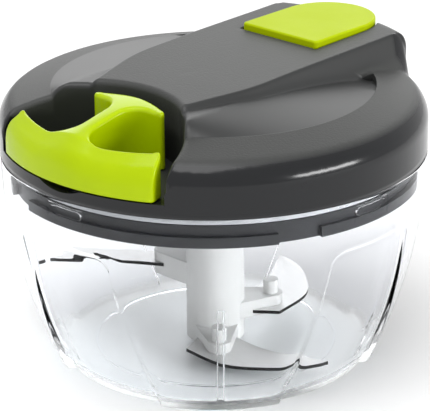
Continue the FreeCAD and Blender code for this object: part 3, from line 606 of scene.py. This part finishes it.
def topSpots(outerAz, recessAz):
    # where the top has its points: rows along each rounded edge, crease and foot, and a field between
    s = coverShape
    near, field = s["creaseStep"], s["fieldStep"]
    shoulder = [onCircle(outerAz, coverOutline(outerAz) - s["shoulderReach"] * (1 - math.sin(angle)))
                for angle in np.radians([8, 20, 32, 43, 53, 62, 70, 77, 83])]
    outwards = [s["recessEdge"] * (1 - math.cos(angle)) for angle in np.radians([12, 24, 36, 48, 60, 75, 90])]
    recessEdge = [onCircle(recessAz, s["recessRadius"] + k, s["recessCentre"]) for k in outwards]
    pocketEdge = [keyOutline(s["pocketGap"] + grow) for grow in (0.08, 0.2, 0.35, 0.5)]
    y = np.arange(-44, 75.2, near)
    bandSides = [np.stack([side * (bandHalfWidth(y) + outside), y], -1)
                 for outside in np.r_[np.arange(-2.1, 3.3, 0.3), 3.6, 4.2, 5.0] for side in (-1, 1)]
    ringCrease = [onCircle(np.arange(25, 335, near), s["ringInner"] + offset)
                  for offset in (-0.5, -0.12, 0.12, 0.5)]
    start, end = np.array(s["dishWallFrom"]), np.array(s["dishWallTo"])
    across = np.array([start[1] - end[1], end[0] - start[0]]) / math.dist(start, end)
    dishWall = []
    for offset in (-0.5, -0.1, 0.1, 0.5):
        line = start + (end - start) * np.linspace(-0.1, 1, 26)[:, None] + across * offset
        dishWall += [line, line * [-1, 1]]
    gridX, gridY = np.meshgrid(np.arange(-74, 74.1, field), np.arange(-66, 75.1, field))
    gridX = gridX + field / 2 * (np.arange(gridX.shape[0]) % 2)[:, None]     # every other row half a step on
    filler = np.stack([gridX.ravel(), gridY.ravel()], -1)
    beside = np.abs(filler[:, 0]) - bandHalfWidth(filler[:, 1])
    filler = filler[((beside < -2.6) | (beside > 5.5)) & (np.abs(np.hypot(*filler.T) - s["ringInner"]) > 0.9)]
    inner = clearOfEdges(np.vstack(bandSides + ringCrease + dishWall + [filler]), s["shoulderReach"] - 0.5,
                         s["recessEdge"] + 0.2, 0.7)
    spots = clearOfEdges(np.vstack(shoulder + recessEdge + pocketEdge + [inner]), 0.015, 0.02, 0.04)
    return np.unique(np.round(spots, 3), axis=0)


def outerWall(outerAz, inGap):
    # from the top's edge to the recess floor's level, swelling out at the rear, then straight down
    s = coverShape
    circle, outerArc = onCircle(outerAz, s["radius"]), onCircle(outerAz, coverOutline(outerAz))
    upper = hang(circle, np.where(inGap, s["pocketFloor"], roundedHeight(outerArc)), s["recessFloor"], 13)
    for row in upper:
        proud = easeStep((row[:, 2:] - s["proudFrom"]) / s["proudOver"])
        row[:, :2] = circle * (1 - proud) + outerArc * proud
    level = np.full(len(circle), s["recessFloor"])
    return [strip(upper, flip=True), strip(hang(circle, level, s["bottom"], 4), flip=True)]


def recessWall(recessArc):
    # filled while unrolled to (distance along the arc, height), so that the cord guide's hole is a circle
    s = coverShape
    along, topZ, floor = distances(recessArc), roundedHeight(recessArc), s["recessFloor"]
    shares = np.linspace(0, 1, 13)[1:-1]
    left, right = (np.column_stack([np.full(11, along[end]), topZ[end] + (floor - topZ[end]) * shares])
                   for end in (0, -1))
    loop = np.vstack([np.column_stack([along, topZ]), right,
                      np.column_stack([along, np.full(len(along), floor)])[::-1], left[::-1]])
    middle = [along[-1] / 2, s["guideHeight"]]
    hole = onCircle(np.arange(0, 360, 7.5), s["guideHole"]) + middle
    gridX, gridZ = np.meshgrid(np.arange(1.2, along[-1] - 1, 1.2), np.arange(82.3, 106, 1.4))
    spots = np.stack([gridX.ravel(), gridZ.ravel()], -1)
    spots = spots[(spots[:, 1] < np.interp(spots[:, 0], along, topZ) - 0.7)
                  & (np.hypot(*(spots - middle).T) > s["guideHole"] + 0.6)]
    wall, faces = fillOutline(loop, spots, [hole])
    return np.column_stack([pointsAt(wall[:, 0], recessArc), wall[:, 1]]), faces


def recessFront(recessArc):
    # the low wall under the recess, and the recess floor, both with the fingertip scoop
    s = coverShape
    touch = recessTouch()[0]
    front = onCircle(np.linspace(-touch, touch, 90), s["radius"])
    gridX, gridY = np.meshgrid(np.arange(-38, 38.1, 2.0), np.arange(-74, -31, 2.0))
    scoopX = np.linspace(-11, 11, 23)
    rows = [np.column_stack([scoopX, -np.sqrt((s["radius"] - inwards) ** 2 - scoopX ** 2)])
            for inwards in (1.5, 3.5, 5.5, s["scoopReach"] - 0.05, s["scoopReach"] + 0.05)]
    spots = np.vstack([np.stack([gridX.ravel(), gridY.ravel()], -1)] + rows)
    keep = (np.hypot(spots[:, 0], spots[:, 1] - s["recessCentre"]) < s["recessRadius"] - 0.5) \
        & (np.hypot(*spots.T) < s["radius"] - 0.5)
    plan, faces = fillOutline(np.vstack([front, recessArc[-2:0:-1]]), spots[keep])
    return [strip(hang(front, scoopHeight(front), s["bottom"], 4), flip=True),
            (np.column_stack([plan, scoopHeight(plan)]), faces)]


def pocketParts(pocket, gapArc):
    # the key pocket's wall, and its floor with the latch's slot
    s = coverShape
    edgeZ = roundedHeight(pocket)
    edgeZ[[0, -1]] = s["pocketFloor"]
    half, low, high = s["slotHalf"], s["slotFrom"], s["slotTo"]
    slot = resample(np.array([[-half, low], [half, low], [half, high], [-half, high]]), 1.0)
    plan, faces = fillOutline(np.vstack([pocket, gapArc[1:-1]]), pocket[:0], [slot])
    return [strip(hang(pocket, edgeZ, s["pocketFloor"], 5)),
            (np.column_stack([plan, np.full(len(plan), s["pocketFloor"])]), faces)]


def makeCover():
    # the top is a height by plan position, and walls and floors hang from the same outline
    s = coverShape
    pocket, breakAz = pocketPath()
    outerAz, recessAz = coverAzimuths(breakAz)
    outerArc = onCircle(outerAz, coverOutline(outerAz))
    recessArc = onCircle(recessAz, s["recessRadius"], s["recessCentre"])
    inGap = (outerAz >= breakAz) & (outerAz <= 360 - breakAz)
    gapStart, gapEnd = np.flatnonzero(inGap)[[0, -1]]
    outline = np.vstack([outerArc[:gapStart + 1], pocket[-2:0:-1], outerArc[gapEnd:], recessArc[1:-1]])
    plan, faces = fillOutline(outline, topSpots(outerAz, recessAz))
    top = np.column_stack([plan, roundedHeight(plan)])
    for corner in (outerArc[gapStart], outerArc[gapEnd]):
        top[np.hypot(*(plan - corner).T) < 1e-4, 2] = s["pocketFloor"]
    parts = [(top, faces), *outerWall(outerAz, inGap), recessWall(recessArc), *recessFront(recessArc),
             *pocketParts(pocket, outerArc[gapStart:gapEnd + 1])]
    cover = addPiece(*joinParts(parts), "lidCover")
    weld(cover)
    markGrain(cover)
    smoothShade(cover, 38, s["wall"])
    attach(cover, "lid")
    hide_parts("lid_cover")
    print("lid cover,", len(cover.data.polygons), "faces")
    return cover


def markGrain(cover):
    # attribute grain: 1 where the mould is finely grained (ring and top of the band), 0 where it is
    # smooth; attribute sheen: the roughness that goes with it, which the lid's finish also reads to
    # paint the grained tops lighter and the crescent partly so, as painted top light and reflection
    s = coverShape
    mesh = cover.data
    flat = np.empty(len(mesh.vertices) * 3)
    mesh.vertices.foreach_get("co", flat)
    x, y, z = (flat.reshape(-1, 3) / mm).T
    outside = np.abs(x) - bandHalfWidth(y)
    onBand = easeStep((-outside - 0.4) / 0.8)
    onRing = easeStep((s["radius"] - np.hypot(x, y) - 2.2) / 2.5) * easeStep((outside - 2.5) / 1.5)
    onRing = onRing * (~isDish(x, y))
    raised = easeStep((z - 91) / 2)
    satin = easeStep((70 - np.hypot(x, y)) / 3)
    rough = s["glossWall"] + (s["glossDish"] - s["glossWall"]) * satin
    # where the grain is, which is also where the lid's finish paints its lighter top light
    grainAndPaintedTopLight = np.clip(onBand + onRing, 0, 1) * raised
    sheen = mesh.attributes.new("sheen", "FLOAT", "POINT")
    sheen.data.foreach_set("value", (rough + (s["glossGrain"] - rough) * grainAndPaintedTopLight).astype(np.float32))
    grain = mesh.attributes.new("grain", "FLOAT", "POINT")
    grain.data.foreach_set("value", grainAndPaintedTopLight.astype(np.float32))


# pull handle

handleShape = {
    "outer": 73.9, "inner": 67.0, "endAzimuth": 29.2, "waistHalf": 3.2, "waistRound": 7.0,
    "blockHalf": 16.05, "blockFront": -42.0, "blockBack": 34.2, "recessCentre": -70.0,
    "bottom": 81.3, "barSlope": 0.62, "barFall": 2.1, "blockFall": 0.5, "fallHalf": 14.0,
    "rollReach": 3.5, "rollDrop": 6.0,
    "ridge": ((-74, 96.9), (-67, 97.2), (-62.5, 97.9), (-58, 99.1), (-53.6, 100.0), (-47.5, 100.9),
              (-42, 101.4), (-35.5, 101.9)),
    "cornerBlur": 1.0, "edgeRound": 1.4, "footRound": 0.5, "spacing": 0.42, "fieldStep": 0.8,
    "cordWay": 1.25, "cordHeight": 89.0, "chamber": 2.62, "chamberY": -41.0, "chamberTop": 91.6,
}


def handleOutline():
    # outer bar, narrow waist and inner block in plan, anticlockwise from the outer face's left end
    s = handleShape
    outer = onCircle(np.linspace(-s["endAzimuth"], s["endAzimuth"], 60), s["outer"])
    cx = s["waistHalf"] + s["waistRound"]
    cy = -math.sqrt((s["inner"] - s["waistRound"]) ** 2 - cx * cx)
    touch = math.degrees(math.atan2(cx, -cy))
    innerArc = onCircle(np.linspace(s["endAzimuth"], touch, 20), s["inner"])
    lower = onCircle(np.linspace(touch, -90, 20), s["waistRound"]) + [cx, cy]
    upper = onCircle(np.linspace(-90, -180, 16), s["waistRound"]) + [cx, s["blockFront"] - s["waistRound"]]
    backAz = math.degrees(math.asin(s["blockHalf"] / s["blockBack"]))
    block = np.array([[s["blockHalf"], s["blockFront"]]])
    back = onCircle(np.linspace(180 - backAz, 180, 20), s["blockBack"], s["recessCentre"])
    right = np.vstack([innerArc, lower, upper, block, back])
    left = right[::-1] * [-1, 1]
    line = resample(np.vstack([outer[:-1], right, left[1:-1]]), s["spacing"])
    return roundCorners(line, s["cornerBlur"] / s["spacing"])


def handleTop(x, y):
    # rises from the bar to the block; the bar's ends sit lower and its outer edge rolls over
    s = handleShape
    ends = np.interp(y, [-60, -45], [s["barFall"], s["blockFall"]]) * easeStep(np.abs(x) / s["fallHalf"])
    beyond = np.clip(np.hypot(x, y) - s["inner"], 0, None)
    slope = s["barSlope"] * beyond * np.clip(beyond / 2, 0, 1)
    roll = quarterDrop(s["outer"] - np.hypot(x, y), s["rollReach"], s["rollDrop"])
    return cubicThrough(s["ridge"], y) - ends - slope - roll


def edgeRoom(normals):
    # how far a rounded edge may reach inwards: less than the outline's own radius where it turns sharply
    ahead, behind = np.roll(normals, -1, axis=0), np.roll(normals, 1, axis=0)
    bend = (behind[:, 0] * ahead[:, 1] - behind[:, 1] * ahead[:, 0]) / (2 * handleShape["spacing"])
    room = np.clip(0.45 / np.maximum(bend, 0.1), None, 3)
    room = np.min([np.roll(room, k) for k in range(-5, 6)], axis=0)[:, None]
    return roundCorners(room, 1.5)


def makeHandle():
    # rings round the outline for the rounded edge, walls and foot, with top and underside filled in plan
    s = handleShape
    outline = handleOutline()
    normals = outwardNormals(outline)
    reach = np.minimum(s["edgeRound"], edgeRoom(normals))
    edge = []
    for angle in np.radians([0, 14, 28, 42, 56, 70, 90]):
        plan = outline - normals * (reach * (1 - math.cos(angle)))
        edge.append(np.column_stack([plan, handleTop(*plan.T) - s["edgeRound"] * (1 - math.sin(angle))]))
    walls = hang(outline, edge[0][:, 2], s["bottom"] + s["footRound"], 12)
    feet = []
    for angle in np.radians([30, 60, 90]):
        inset, up = s["footRound"] * (1 - math.cos(angle)), s["footRound"] * (1 - math.sin(angle))
        feet.append(np.column_stack([outline - normals * inset, np.full(len(outline), s["bottom"] + up)]))
    gridX, gridY = np.meshgrid(np.arange(-37, 37, s["fieldStep"]), np.arange(-74, -35, s["fieldStep"]))
    spots = np.stack([gridX.ravel(), gridY.ravel()], -1)
    spots = spots[insideOutline(spots, outline - normals * (s["edgeRound"] + 0.35))]
    plan, topFaces = fillOutline(edge[-1][:, :2], spots)
    under, underFaces = fillOutline(feet[-1][:, :2], spots[::5])
    handle = addPiece(*joinParts([
        strip(edge[::-1] + walls[1:] + feet, wrap=True, flip=True),
        (np.column_stack([plan, handleTop(*plan.T)]), topFaces),
        (np.column_stack([under, np.full(len(under), s["bottom"])]), [face[::-1] for face in underFaces]),
    ]), "pullHandle")
    weld(handle)
    cutRound(handle, s["chamber"], (0, s["chamberY"], s["bottom"] - 1), (0, s["chamberY"], s["chamberTop"]))
    cutRound(handle, s["cordWay"], (0, s["chamberY"], s["cordHeight"]), (0, -34.0, s["cordHeight"]))
    smoothShade(handle, 50)
    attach(handle, "handle")
    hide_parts("handle_grip")
    print("pull handle,", len(handle.data.polygons), "faces")
    return handle


# pull cord

cordShape = {"radius": 0.88, "height": 89.0, "leave": (14.018, -9.169), "bend": (0.0, -30.6), "back": 1.61,
             "stretchFrom": -32.2, "end": -40.7, "sides": 20, "strands": 3, "twist": 7.0, "ridge": 0.1}


def makeCord():
    # a laid cord from the winding, round a small bend in the guide, to the knot; its radius dips
    # between the strands, and the strands turn along it
    s = cordShape
    leave, bend = np.array(s["leave"]), np.array(s["bend"])
    inwards = (bend - leave) / np.hypot(*(bend - leave))
    first, last = bend - inwards * s["back"], bend + np.array([0, -s["back"]])
    share = np.linspace(0, 1, 13)[1:-1, None]
    curve = first * (1 - share) ** 2 + 2 * bend * share * (1 - share) + last * share ** 2
    middle = np.vstack([leave + (first - leave) * np.linspace(0, 1, 60)[:, None], curve,
                        np.column_stack([np.zeros(80), np.linspace(last[1], s["end"], 80)])])
    along = np.gradient(middle, axis=0)
    along /= np.hypot(*along.T)[:, None]
    across = np.column_stack([along[:, 1], -along[:, 0]])[:, None]
    angle = np.linspace(0, 2 * math.pi, s["sides"], endpoint=False)[None]
    turn = np.radians(distances(middle)[:, None] * 360 / s["twist"])
    radius = s["radius"] + s["ridge"] * (np.abs(np.cos(s["strands"] * 0.5 * (angle + turn))) - 1)
    plan = middle[:, None] + across * (radius * np.cos(angle))[..., None]
    points = np.concatenate([plan, (s["height"] + radius * np.sin(angle))[..., None]], -1)
    cord = addPiece(points.reshape(-1, 3), tubeFaces(len(middle), s["sides"], flip=True), "freeCord")
    cord.data.shade_smooth()
    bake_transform(cord)
    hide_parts("pull_cord")
    print("pull cord,", len(cord.data.polygons), "faces")
    return cord


# key spring

springShape = {"radius": 3.2, "wire": 0.38, "turns": 4, "low": 99.72, "high": 105.26, "y": 51.4, "flat": 0.08,
               "steps": 220, "sides": 12, "keep": 0.79}


def makeKeySpring():
    # a helix of round wire whose first and last turns lie flat
    s = springShape
    share = np.linspace(0, 1, s["steps"])
    angle = share * s["turns"] * 2 * math.pi
    low, high = s["low"] + s["wire"], s["high"] - s["wire"]
    rise = (share - s["flat"]) / (1 - 2 * s["flat"])
    z = low + (high - low) * easeStep(rise) * 0.5 + (high - low) * np.clip(rise, 0, 1) * 0.5
    middle = np.column_stack([s["radius"] * np.sin(angle), s["y"] - s["radius"] * np.cos(angle), z])
    along = np.gradient(middle, axis=0)
    along /= np.linalg.norm(along, axis=1)[:, None]
    outwards = np.column_stack([np.sin(angle), -np.cos(angle), 0 * angle])
    across = np.cross(along, outwards)
    outwards = np.cross(across, along)
    turn = np.linspace(0, 2 * math.pi, s["sides"], endpoint=False)[None, :, None]
    points = middle[:, None] + s["wire"] * (outwards[:, None] * np.cos(turn) + across[:, None] * np.sin(turn))
    spring = addPiece(points.reshape(-1, 3), tubeFaces(s["steps"], s["sides"]), "keySpring")
    spring.data.shade_smooth()
    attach(spring, "lid")
    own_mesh(spring)
    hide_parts("key_spring")
    print("key spring,", len(spring.data.polygons), "faces")
    return spring


# finishes

plastics = {    # colour and second shade on screen, roughness from and to, grain's scale and depth in m
    "darkInside": {"colours": ((34, 35, 38), (31, 32, 34)), "roughness": (0.34, 0.44),
                   "grain": (900, 0.00004)},
    "limeGloss": {"colours": ((173, 198, 0), (169, 194, 0)), "roughness": (0.14, 0.2),
                  "grain": (500, 0.000008), "specular": 0.16},
    "limeSatin": {"colours": ((174, 193, 0), (171, 190, 0)), "roughness": (0.42, 0.5),
                  "grain": (1300, 0.00003), "specular": 0.06},
    "hubWhite": {"colours": ((210, 210, 208), (204, 204, 202)), "roughness": (0.35, 0.42),
                 "grain": (700, 0.00003), "softEdge": 0.0005},
    "whiteInside": {"colours": ((228, 228, 226), (220, 220, 218)), "roughness": (0.4, 0.5),
                    "grain": (700, 0.00003)},
    "sealSoft": {"colours": ((200, 202, 204), (190, 192, 194)), "roughness": (0.55, 0.65),
                 "grain": (500, 0.00004)},
    "cordFibre": {"colours": ((225, 224, 218), (170, 169, 164)), "roughness": (0.8, 0.9),
                  "grain": (1600, 0.0002)},
}
# the lighter colour is painted top light and reflection on the grained tops and the crescent; the smooth
# colour is the lid's own dark plastic
lidLook = {"smooth": (24, 25, 27), "grainAndPaintedTopLight": (56, 57, 56), "specular": 0.34, "mottle": 0.05, "bump": 0.00012}
clearLook = {"index": 1.12, "side": (251, 252, 254), "floor": (254, 254, 253), "scuff": 0.03, "frost": 0.3,
             "frostFrom": 0.0028, "frostTo": 0.0036, "shade": (0.95, 0.97, 0.98, 1)}
# cut: a dark colour painted as shade on the steel's edges, the faces that turn sideways
steelLook = {"bright": (214, 214, 213), "dull": (196, 196, 195), "cut": (20, 20, 20), "metal": 0.55,
             "roughness": (0.3, 0.42), "scratchScale": 260, "scratchPull": 14.0, "bump": 0.00002}


def newFinish(name):
    material = bpy.data.materials.new(name)
    material.use_nodes = True
    tree = material.node_tree
    tree.nodes.clear()
    output = tree.nodes.new("ShaderNodeOutputMaterial")
    shader = tree.nodes.new("ShaderNodeBsdfPrincipled")
    tree.links.new(shader.outputs[0], output.inputs[0])
    return material, tree, shader


def srgb(colour):
    # a colour given as 0 to 255 on screen, in Blender's linear values
    value = np.array(colour) / 255
    linear = np.where(value <= 0.04045, value / 12.92, ((value + 0.055) / 1.055) ** 2.4)
    return tuple(linear) + (1.0,)


def feed(tree, value, socket):
    # links another node's output, or sets a plain value
    if isinstance(value, bpy.types.NodeSocket):
        tree.links.new(value, socket)
    else:
        socket.default_value = value


def noiseOn(tree, scale, detail=2.0, vector=None):
    noise = tree.nodes.new("ShaderNodeTexNoise")
    noise.inputs["Scale"].default_value = scale
    noise.inputs["Detail"].default_value = detail
    if vector is None:
        vector = tree.nodes.new("ShaderNodeTexCoord").outputs["Object"]
    tree.links.new(vector, noise.inputs["Vector"])
    return noise.outputs[0]


def mapRange(tree, source, low, high, toLow, toHigh):
    node = tree.nodes.new("ShaderNodeMapRange")
    keys = ("Value", "From Min", "From Max", "To Min", "To Max")
    for key, value in zip(keys, (source, low, high, toLow, toHigh)):
        feed(tree, value, node.inputs[key])
    return node.outputs[0]


def mathOn(tree, operation, *sources):
    node = tree.nodes.new("ShaderNodeMath")
    node.operation = operation
    for source, socket in zip(sources, node.inputs):
        tree.links.new(source, socket)
    return node.outputs[0]


def mixColour(tree, factor, first, second, way="MIX"):
    node = tree.nodes.new("ShaderNodeMix")
    node.data_type = "RGBA"
    node.blend_type = way
    for value, socket in ((factor, node.inputs["Factor"]), (first, node.inputs[6]), (second, node.inputs[7])):
        feed(tree, value, socket)
    return node.outputs[2]


def bumpOn(tree, shader, height, strength, distance):
    bump = tree.nodes.new("ShaderNodeBump")
    bump.inputs["Strength"].default_value = strength
    bump.inputs["Distance"].default_value = distance
    tree.links.new(height, bump.inputs["Height"])
    tree.links.new(bump.outputs[0], shader.inputs["Normal"])
    return bump


def attributeOn(tree, name):
    node = tree.nodes.new("ShaderNodeAttribute")
    node.attribute_name = name
    return node.outputs["Fac"]


def moulded(name):
    # moulded plastic: faint colour and gloss variation, fine surface grain, softened edges on some
    s = plastics[name]
    material, tree, shader = newFinish(name)
    broad = noiseOn(tree, 60)
    colour, shade = (srgb(c) for c in s["colours"])
    shading = mapRange(tree, broad, 0.35, 0.65, 0, 1)
    feed(tree, mixColour(tree, shading, colour, shade), shader.inputs["Base Color"])
    feed(tree, mapRange(tree, broad, 0.3, 0.7, *s["roughness"]), shader.inputs["Roughness"])
    shader.inputs["Specular IOR Level"].default_value = s.get("specular", 0.5)
    scale, depth = s["grain"]
    bump = bumpOn(tree, shader, noiseOn(tree, scale), 1.0, depth)
    if "softEdge" in s:
        bevel = tree.nodes.new("ShaderNodeBevel")
        bevel.samples = 6
        bevel.inputs["Radius"].default_value = s["softEdge"]
        tree.links.new(bevel.outputs[0], bump.inputs["Normal"])
    return material


def lidFinish():
    # anthracite: finely grained ring and band, smoother walls, by the cover's own attributes; the
    # grained tops and the crescent get a lighter colour by the sheen attribute, a painted top light and
    # reflection
    s = lidLook
    material, tree, shader = newFinish("anthracite")
    grain, sheen = attributeOn(tree, "grain"), attributeOn(tree, "sheen")
    # painted top light and reflection: lighter with the sheen attribute, fully on the grained tops, partly on
    # the crescent
    grainAndPaintedTopLight = mapRange(tree, sheen, 0.25, coverShape["glossGrain"], 0, 1)
    colour = mixColour(tree, grainAndPaintedTopLight, srgb(s["smooth"]), srgb(s["grainAndPaintedTopLight"]))
    mottle = mapRange(tree, noiseOn(tree, 45), 0.35, 0.65, 0, 1)
    mottle = mixColour(tree, mottle, (0, 0, 0, 1), (1, 1, 1, 1))
    feed(tree, mixColour(tree, s["mottle"], colour, mottle, "MULTIPLY"), shader.inputs["Base Color"])
    shader.inputs["Specular IOR Level"].default_value = s["specular"]
    tree.links.new(sheen, shader.inputs["Roughness"])
    height = mathOn(tree, "MULTIPLY", noiseOn(tree, 1500), mapRange(tree, grain, 0, 1, 0.06, 1))
    bumpOn(tree, shader, height, 0.8, s["bump"])
    return material


def clearFinish():
    # clear plastic, frosted under the floor's upper face, that lets lamps through
    s = clearLook
    material, tree, shader = newFinish("clearPlastic")
    shader.inputs["Transmission Weight"].default_value = 1.0
    shader.inputs["IOR"].default_value = s["index"]
    scuff = mapRange(tree, noiseOn(tree, 90, 3), 0.4, 0.7, 0.0, s["scuff"])
    place = tree.nodes.new("ShaderNodeSeparateXYZ")
    tree.links.new(tree.nodes.new("ShaderNodeTexCoord").outputs["Object"], place.inputs[0])
    low = mapRange(tree, place.outputs["Z"], s["frostFrom"], s["frostTo"], 1, 0)
    feed(tree, mixColour(tree, low, srgb(s["side"]), srgb(s["floor"])), shader.inputs["Base Color"])
    frost = mapRange(tree, low, 0, 1, 0, s["frost"])
    feed(tree, mathOn(tree, "MAXIMUM", scuff, frost), shader.inputs["Roughness"])
    through = tree.nodes.new("ShaderNodeBsdfTransparent")
    through.inputs[0].default_value = s["shade"]
    path = tree.nodes.new("ShaderNodeLightPath")
    mix = tree.nodes.new("ShaderNodeMixShader")
    sources = (path.outputs["Is Shadow Ray"], shader.outputs[0], through.outputs[0])
    for source, socket in zip(sources, mix.inputs):
        tree.links.new(source, socket)
    tree.links.new(mix.outputs[0], tree.get_output_node("ALL").inputs[0])
    return material


def steelFinish():
    # ground sheet steel: fine scratches along the grinding, and a painted shade on the edges, the faces that
    # turn sideways
    s = steelLook
    material, tree, shader = newFinish("groundSteel")
    place = tree.nodes.new("ShaderNodeTexCoord")
    stretch = tree.nodes.new("ShaderNodeMapping")
    stretch.inputs["Scale"].default_value = (1.0, s["scratchPull"], 1.0)
    tree.links.new(place.outputs["Object"], stretch.inputs["Vector"])
    scratch = noiseOn(tree, s["scratchScale"], 4, stretch.outputs[0])
    surface = tree.nodes.new("ShaderNodeNewGeometry")
    split = tree.nodes.new("ShaderNodeSeparateXYZ")
    tree.links.new(surface.outputs["True Normal"], split.inputs[0])
    # painted shade: faces that turn sideways, the blades' edges, take the dark cut colour
    flat = mapRange(tree, mathOn(tree, "ABSOLUTE", split.outputs["Z"]), 0.3, 0.8, 0, 1)
    light = mixColour(tree, scratch, srgb(s["bright"]), srgb(s["dull"]))
    feed(tree, mixColour(tree, flat, srgb(s["cut"]), light), shader.inputs["Base Color"])
    feed(tree, mapRange(tree, scratch, 0.3, 0.7, *s["roughness"]), shader.inputs["Roughness"])
    shader.inputs["Metallic"].default_value = s["metal"]
    bumpOn(tree, shader, scratch, 0.3, s["bump"])
    return material


# room

roomSet = {
    "distance": 888.0, "lookHeight": 52.468, "azimuth": 43.6, "elevation": 21.46, "roll": -0.59,
    "lens": 212.2, "shiftX": 0.00117, "floorSize": 6000.0, "lampAim": 70.0, "skyOnObject": 0.72,
    "lamps": {     # azimuth, elevation, distance in m, width and height in m, power in W
        "above": (10, 72, 1.6, (1.2, 1.2), 17), "right": (103, 12, 1.5, (0.95, 0.2), 13),
        "behind": (221, 22, 2.0, (1.8, 1.15), 12), "left": (-60, 40, 1.8, (1.4, 1.4), 2.5),
    },
}


def towards(azimuth, elevation):
    az, el = math.radians(azimuth), math.radians(elevation)
    return Vector((math.sin(az) * math.cos(el), -math.cos(az) * math.cos(el), math.sin(el)))


def makeCamera():
    s = roomSet
    out = towards(s["azimuth"], s["elevation"])
    target = Vector((0, 0, s["lookHeight"] * mm))
    data = bpy.data.cameras.new("viewpoint")
    data.lens = s["lens"]
    data.sensor_width = 36
    data.sensor_fit = "HORIZONTAL"
    data.shift_x = s["shiftX"]
    data.clip_start = 0.01
    camera = bpy.data.objects.new("viewpoint", data)
    bpy.context.scene.collection.objects.link(camera)
    turn = (-out).to_track_quat("-Z", "Y") @ Matrix.Rotation(math.radians(s["roll"]), 3, "Z").to_quaternion()
    camera.matrix_world = Matrix.Translation(target + out * s["distance"] * mm) @ turn.to_matrix().to_4x4()
    bpy.context.scene.camera = camera


def makeLamp(name, azimuth, elevation, distance, size, power):
    out = towards(azimuth, elevation)
    data = bpy.data.lights.new(name, "AREA")
    data.shape = "RECTANGLE"
    data.size, data.size_y = size
    data.energy = power
    lamp = bpy.data.objects.new(name, data)
    bpy.context.scene.collection.objects.link(lamp)
    aim = Vector((0, 0, roomSet["lampAim"] * mm))
    lamp.matrix_world = Matrix.Translation(aim + out * distance) \
        @ (-out).to_track_quat("-Z", "Y").to_matrix().to_4x4()


def makeFloor():
    half = roomSet["floorSize"] / 2
    corners = [(-half, -half, 0), (half, -half, 0), (half, half, 0), (-half, half, 0)]
    floor = addPiece(corners, [(0, 1, 2, 3)], "floor")
    material, tree, shader = newFinish("paleFloor")
    feed(tree, mixColour(tree, noiseOn(tree, 3), (0.93, 0.93, 0.93, 1), (0.91, 0.91, 0.91, 1)),
         shader.inputs["Base Color"])
    shader.inputs["Roughness"].default_value = 0.9
    shader.inputs["Specular IOR Level"].default_value = 0.1
    floor.data.materials.append(material)
    floor.location.z = -0.0002


def makeSky():
    # white to the camera and in glass and metal, dimmer as light on the object
    world = bpy.context.scene.world or bpy.data.worlds.new("studio")
    bpy.context.scene.world = world
    world.use_nodes = True
    tree = world.node_tree
    tree.nodes.clear()
    output = tree.nodes.new("ShaderNodeOutputWorld")
    back = tree.nodes.new("ShaderNodeBackground")
    rays = tree.nodes.new("ShaderNodeLightPath").outputs
    seen = mathOn(tree, "MAXIMUM", rays["Is Camera Ray"], rays["Is Transmission Ray"])
    seen = mathOn(tree, "MAXIMUM", seen, rays["Is Glossy Ray"])
    feed(tree, mapRange(tree, seen, 0, 1, roomSet["skyOnObject"], 1.0), back.inputs["Strength"])
    tree.links.new(back.outputs[0], output.inputs[0])


makeCamera()
makeFloor()
makeSky()
for lampName, lampPlace in roomSet["lamps"].items():
    makeLamp(lampName, *lampPlace)
print("room set")

bowl = makeBowl()
cover = makeCover()
handle = makeHandle()
cord = makeCord()
spring = makeKeySpring()

plain = [moulded(name) for name in plastics]
finishes = {finish.name: finish for finish in (clearFinish(), lidFinish(), steelFinish(), *plain)}
whiteParts = ("cord_spool", "drive_dog", "spool_bridge", "spool_bush", "spring_cover", "cord_guide")
steelParts = ("blade_lower", "blade_middle", "blade_upper", "blade_pin", "lid_screws", "bridge_screws",
              "dog_screw", "key_pin", "return_spring")
wornBy = {
    "clearPlastic": [bowl], "anthracite": [cover], "limeGloss": [handle, nodes["handle_plug"]],
    "limeSatin": [nodes["release_key"]], "darkInside": [nodes["lid_base"]], "hubWhite": [nodes["blade_hub"]],
    "whiteInside": [nodes[name] for name in whiteParts],
    "groundSteel": [spring] + [nodes[name] for name in steelParts],
    "sealSoft": [nodes["seal_ring"]], "cordFibre": [cord, nodes["cord_winding"], nodes["cord_knot"]],
}
for finishName, pieces in wornBy.items():
    for piece in pieces:
        piece.data.materials.clear()
        piece.data.materials.append(finishes[finishName])
print("finishes set")

bpy.context.scene.view_settings.view_transform = "Standard"
